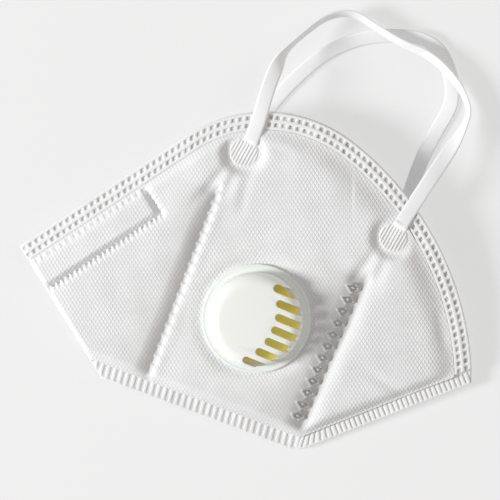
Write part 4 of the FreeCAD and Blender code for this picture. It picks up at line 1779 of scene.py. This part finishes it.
@dataclass
class Valve:
    """The exhalation valve's flange and its slotted cover."""

    flange_radius: float = 18.45
    cover_radius: float = 15.95
    cover_low: float = 6.1
    cover_high: float = 14.6
    wall: float = 1.2
    shoulder: float = 4.4
    slots: int = 7
    slot_pitch: float = 4.4
    slot_shift: float = -0.1
    slot_width: float = 2.7
    slot_floor: float = 8.0
    slot_round: float = 20.4
    slot_length: float = 14.5

    def lathe(
        self, name: str, profile: Sequence[Point2], count: int = 128
    ) -> bpy.types.Object:
        """Turns a closed outline about the valve's axis.

        Args:
            name: Name of the new object.
            profile: The outline, radius and height, mm.
            count: Steps around the axis.

        Returns:
            The new object.
        """
        turn = np.linspace(0, 2 * math.pi, count, endpoint=False)
        ring = np.array(profile, float)
        points = np.stack(
            [
                ring[:, 0, None] * np.cos(turn),
                ring[:, 0, None] * np.sin(turn),
                np.broadcast_to(ring[:, 1, None], (len(ring), count)),
            ],
            axis=-1,
        ).reshape(-1, 3)
        faces = []
        rows = len(profile)
        for i in range(rows):
            j = (i + 1) % rows
            for k in range(count):
                n = (k + 1) % count
                faces.append(
                    (i * count + k, i * count + n, j * count + n, j * count + k)
                )
        mesh = bpy.data.meshes.new(name)
        mesh.from_pydata((points * MM).tolist(), [], faces)
        work = bmesh.new()
        work.from_mesh(mesh)
        bmesh.ops.remove_doubles(work, verts=work.verts, dist=1e-6)
        bmesh.ops.recalc_face_normals(work, faces=work.faces)
        work.to_mesh(mesh)
        work.free()
        return add_object(name, mesh)

    def corner(
        self, centre: Point2, radius: float, start: float, end: float, count: int = 8
    ) -> List[Point2]:
        """Points of a round corner.

        Args:
            centre: Middle of the round, radius and height, mm.
            radius: Its radius, mm.
            start: Angle of the first point, degrees.
            end: Angle of the last point, degrees.
            count: Number of points.

        Returns:
            The points in order.
        """
        return [
            (
                centre[0] + radius * math.cos(math.radians(a)),
                centre[1] + radius * math.sin(math.radians(a)),
            )
            for a in np.linspace(start, end, count)
        ]

    def cover_shell(self) -> bpy.types.Object:
        """The cover's shell before its slots."""
        outer = self.cover_radius
        inner = outer - self.wall
        top = self.cover_high
        bend = self.shoulder
        profile: List[Point2] = [(0.0, top + 0.25), (4.0, top + 0.22), (8.0, top + 0.12)]
        profile += self.corner((outer - bend, top - bend), bend, 86, 8, 14)
        profile += [(outer, self.cover_low + 0.3), (outer - 0.3, self.cover_low)]
        profile += [(inner, self.cover_low)]
        profile += self.corner(
            (outer - bend, top - bend), bend - self.wall, 0, 90, 10
        )
        profile += [(4.0, top - self.wall), (0.0, top - self.wall)]
        return self.lathe("valve_cover_shell", profile)

    def slot_cutter(self, index: int) -> bpy.types.Object:
        """One long cutter with a round inner end."""
        y = self.slot_pitch * index + self.slot_shift
        start = math.sqrt(max(self.slot_round**2 - y * y, 0.0)) - self.slot_length
        half = self.slot_width / 2
        outline: List[Point2] = []
        for a in np.linspace(90, 270, 14):
            turn = math.radians(a)
            outline.append((start + half + half * math.cos(turn), y + half * math.sin(turn)))
        outline += [(22.0, y - half), (22.0, y + half)]
        count = len(outline)
        points = [(px, py, self.slot_floor) for px, py in outline]
        points += [(px, py, 18.0) for px, py in outline]
        faces: List[Tuple[int, ...]] = [
            tuple(reversed(range(count))),
            tuple(range(count, 2 * count)),
        ]
        for i in range(count):
            j = (i + 1) % count
            faces.append((i, j, count + j, count + i))
        mesh = bpy.data.meshes.new(f"slot_{index}")
        mesh.from_pydata([tuple(v * MM for v in p) for p in points], [], faces)
        work = bmesh.new()
        work.from_mesh(mesh)
        bmesh.ops.recalc_face_normals(work, faces=work.faces)
        work.to_mesh(mesh)
        work.free()
        return add_object(f"slot_{index}", mesh)

    def apply(self, piece: bpy.types.Object) -> None:
        """Bakes a piece's modifiers into its mesh."""
        graph = bpy.context.evaluated_depsgraph_get()
        graph.update()
        mesh = bpy.data.meshes.new_from_object(piece.evaluated_get(graph))
        piece.modifiers.clear()
        piece.data = mesh

    def finish_edges(self, piece: bpy.types.Object, width: float) -> None:
        """Rounds the sharp edges and shades the rest smoothly."""
        bevel = piece.modifiers.new("round", "BEVEL")
        bevel.width = width * MM
        bevel.segments = 3
        bevel.limit_method = "ANGLE"
        bevel.angle_limit = math.radians(38)
        bevel.harden_normals = False
        self.apply(piece)
        for face in piece.data.polygons:
            face.use_smooth = True
        piece.data.set_sharp_from_angle(angle=math.radians(50))

    def build_cover(self, palette: Palette) -> bpy.types.Object:
        """Makes the cover with its slots cut and their edges rounded."""
        cover = self.cover_shell()
        cutters = []
        half = self.slots // 2
        for index in range(-half, half + 1):
            cutter = self.slot_cutter(index)
            cut = cover.modifiers.new(f"slot_{index}", "BOOLEAN")
            cut.operation = "DIFFERENCE"
            cut.solver = "EXACT"
            cut.object = cutter
            cutters.append(cutter)
        self.apply(cover)
        for cutter in cutters:
            bpy.data.objects.remove(cutter)
        work = bmesh.new()
        work.from_mesh(cover.data)
        bmesh.ops.remove_doubles(work, verts=work.verts, dist=2e-5)
        bmesh.ops.dissolve_limit(
            work, angle_limit=math.radians(1.0), verts=work.verts, edges=work.edges
        )
        work.to_mesh(cover.data)
        work.free()
        self.finish_edges(cover, 0.32)
        self.seat(cover)
        dress(cover, palette.cover)
        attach(cover, "left_middle")
        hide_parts("valve_cover")
        return cover

    def seat(self, piece: bpy.types.Object) -> None:
        """Moves a piece from the valve's own frame into place."""
        place = valve_frame()
        move = Matrix.Translation(place.translation * MM) @ place.to_3x3().to_4x4()
        piece.data.transform(move)
        piece.data.update()

    def build_flange(self, palette: Palette) -> bpy.types.Object:
        """Makes the flange rim with its raised inner step."""
        rim = self.flange_radius
        profile: List[Point2] = [(self.cover_radius - 1.6, 4.9)]
        profile += [(rim - 0.4, 4.9), (rim - 0.1, 5.0)]
        profile += self.corner((rim - 0.5, 5.7), 0.5, -20, 88, 8)
        profile += [(rim - 0.85, 6.16), (rim - 1.05, 5.98), (rim - 1.3, 5.94)]
        profile += [(self.cover_radius + 0.35, 5.94), (self.cover_radius + 0.2, 6.06)]
        profile += [(self.cover_radius - 0.1, 6.08), (self.cover_radius - 1.6, 6.08)]
        flange = self.lathe("valve_flange_rim", profile)
        self.finish_edges(flange, 0.12)
        self.seat(flange)
        dress(flange, palette.plastic)
        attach(flange, "left_middle")
        return flange

    def build_shelf(self, palette: Palette) -> bpy.types.Object:
        """Makes the ledge inside the cover, around the flap; its beige is painted shade, the
        shaded tone of the cover's inside.
        """
        inner = self.cover_radius - self.wall - 0.05
        profile: List[Point2] = [(13.55, 6.15), (inner, 6.15), (inner, 7.5)]
        profile += [(inner - 0.25, 7.62), (inner - 0.42, 7.2), (14.3, 6.95)]
        profile += [(13.55, 6.9)]
        shelf = self.lathe("valve_inner_ledge", profile)
        self.finish_edges(shelf, 0.05)
        self.seat(shelf)
        dress(shelf, palette.ledge)
        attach(shelf, "left_middle")
        return shelf

    def build(self, palette: Palette) -> None:
        """Makes the valve's three pieces."""
        self.build_cover(palette)
        self.build_flange(palette)
        self.build_shelf(palette)


# --------------------------------------------------------------------------
# The whole mask
# --------------------------------------------------------------------------


@dataclass
class DustMask:
    """Builds every piece of the mask in order."""

    palette: Palette = field(default_factory=Palette)

    def dress_frame(self) -> None:
        """Gives each carried-over solid its finish."""
        finishes = {
            "valve_seat": self.palette.plastic,
            "valve_inner_ring": self.palette.plastic,
            "flap_root": self.palette.rubber,
            "flap_clamp": self.palette.plastic,
            "valve_flap": self.palette.rubber,
            "left_nose_wire": self.palette.wire,
            "right_nose_wire": self.palette.wire,
        }
        for name, material in finishes.items():
            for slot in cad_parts[name].material_slots:
                slot.material = material
            LOG.info("solid %s in %s", name, material.name)

    def build_loops(self) -> None:
        """Makes both ear loops."""
        EarLoop("left_ear_band", "left_ear_loop", LEFT_ROUTE, 0.157).build(self.palette)
        EarLoop("right_ear_band", "right_ear_loop", RIGHT_ROUTE, 0.141).build(self.palette)

    def build_seams(self) -> None:
        """Makes the front seam and the chin seam."""
        pattern = PATTERN
        WeldedSeam(
            name="front_seam_band",
            body="right_middle",
            inner=(pattern.seam_front, pattern.seam_bottom),
            outer=(pattern.hem_front, pattern.hem_bottom),
            pitch=2.24,
            lean=0.1,
            bar=0.42,
            shade=0.27,
            closing=(0.8, 0.03),
            corner=(0.0, 0.75),
            node="front_seam",
        ).build(self.palette)
        WeldedSeam(
            name="chin_seam_band",
            body="right_chin",
            inner=(pattern.seam_bottom, pattern.seam_rear),
            outer=(pattern.hem_bottom, pattern.hem_rear),
            pitch=1.6,
            lean=0.0,
            bar=0.6,
            shade=0.5,
            closing=(0.03, 0.8),
            corner=(0.75, 0.0),
            node="chin_seam",
        ).build(self.palette)

    def build_welds(self) -> None:
        """Makes the four round welds and the band ends in them."""
        for half in (LEFT, RIGHT):
            for end, centre in (
                ("front", PATTERN.front_weld),
                ("rear", PATTERN.rear_weld),
            ):
                name = f"{half.side.value}_{end}_ear_weld"
                weld = EarWeld(half, f"{name}_disc", centre)
                weld.build(self.palette, name)
                weld.build_tab(self.palette)

    def build(self) -> None:
        """Makes the whole mask."""
        self.build_loops()
        FabricHalf(LEFT, FabricHeights(3.6), 0.42).build(self.palette)
        FabricHalf(RIGHT, FabricHeights(2.35, detail=0.0, flange=2.35), 0.9).build(
            self.palette
        )
        self.build_seams()
        self.build_welds()
        Valve().build(self.palette)
        self.dress_frame()


def write_size() -> None:
    """Updates the view layer."""
    bpy.context.view_layer.update()


def main() -> None:
    """Builds the studio, then the mask."""
    studio = Studio()
    studio.make_camera()
    studio.make_light()
    studio.make_table()
    DustMask().build()
    write_size()


if __name__ == "__main__":
    main()
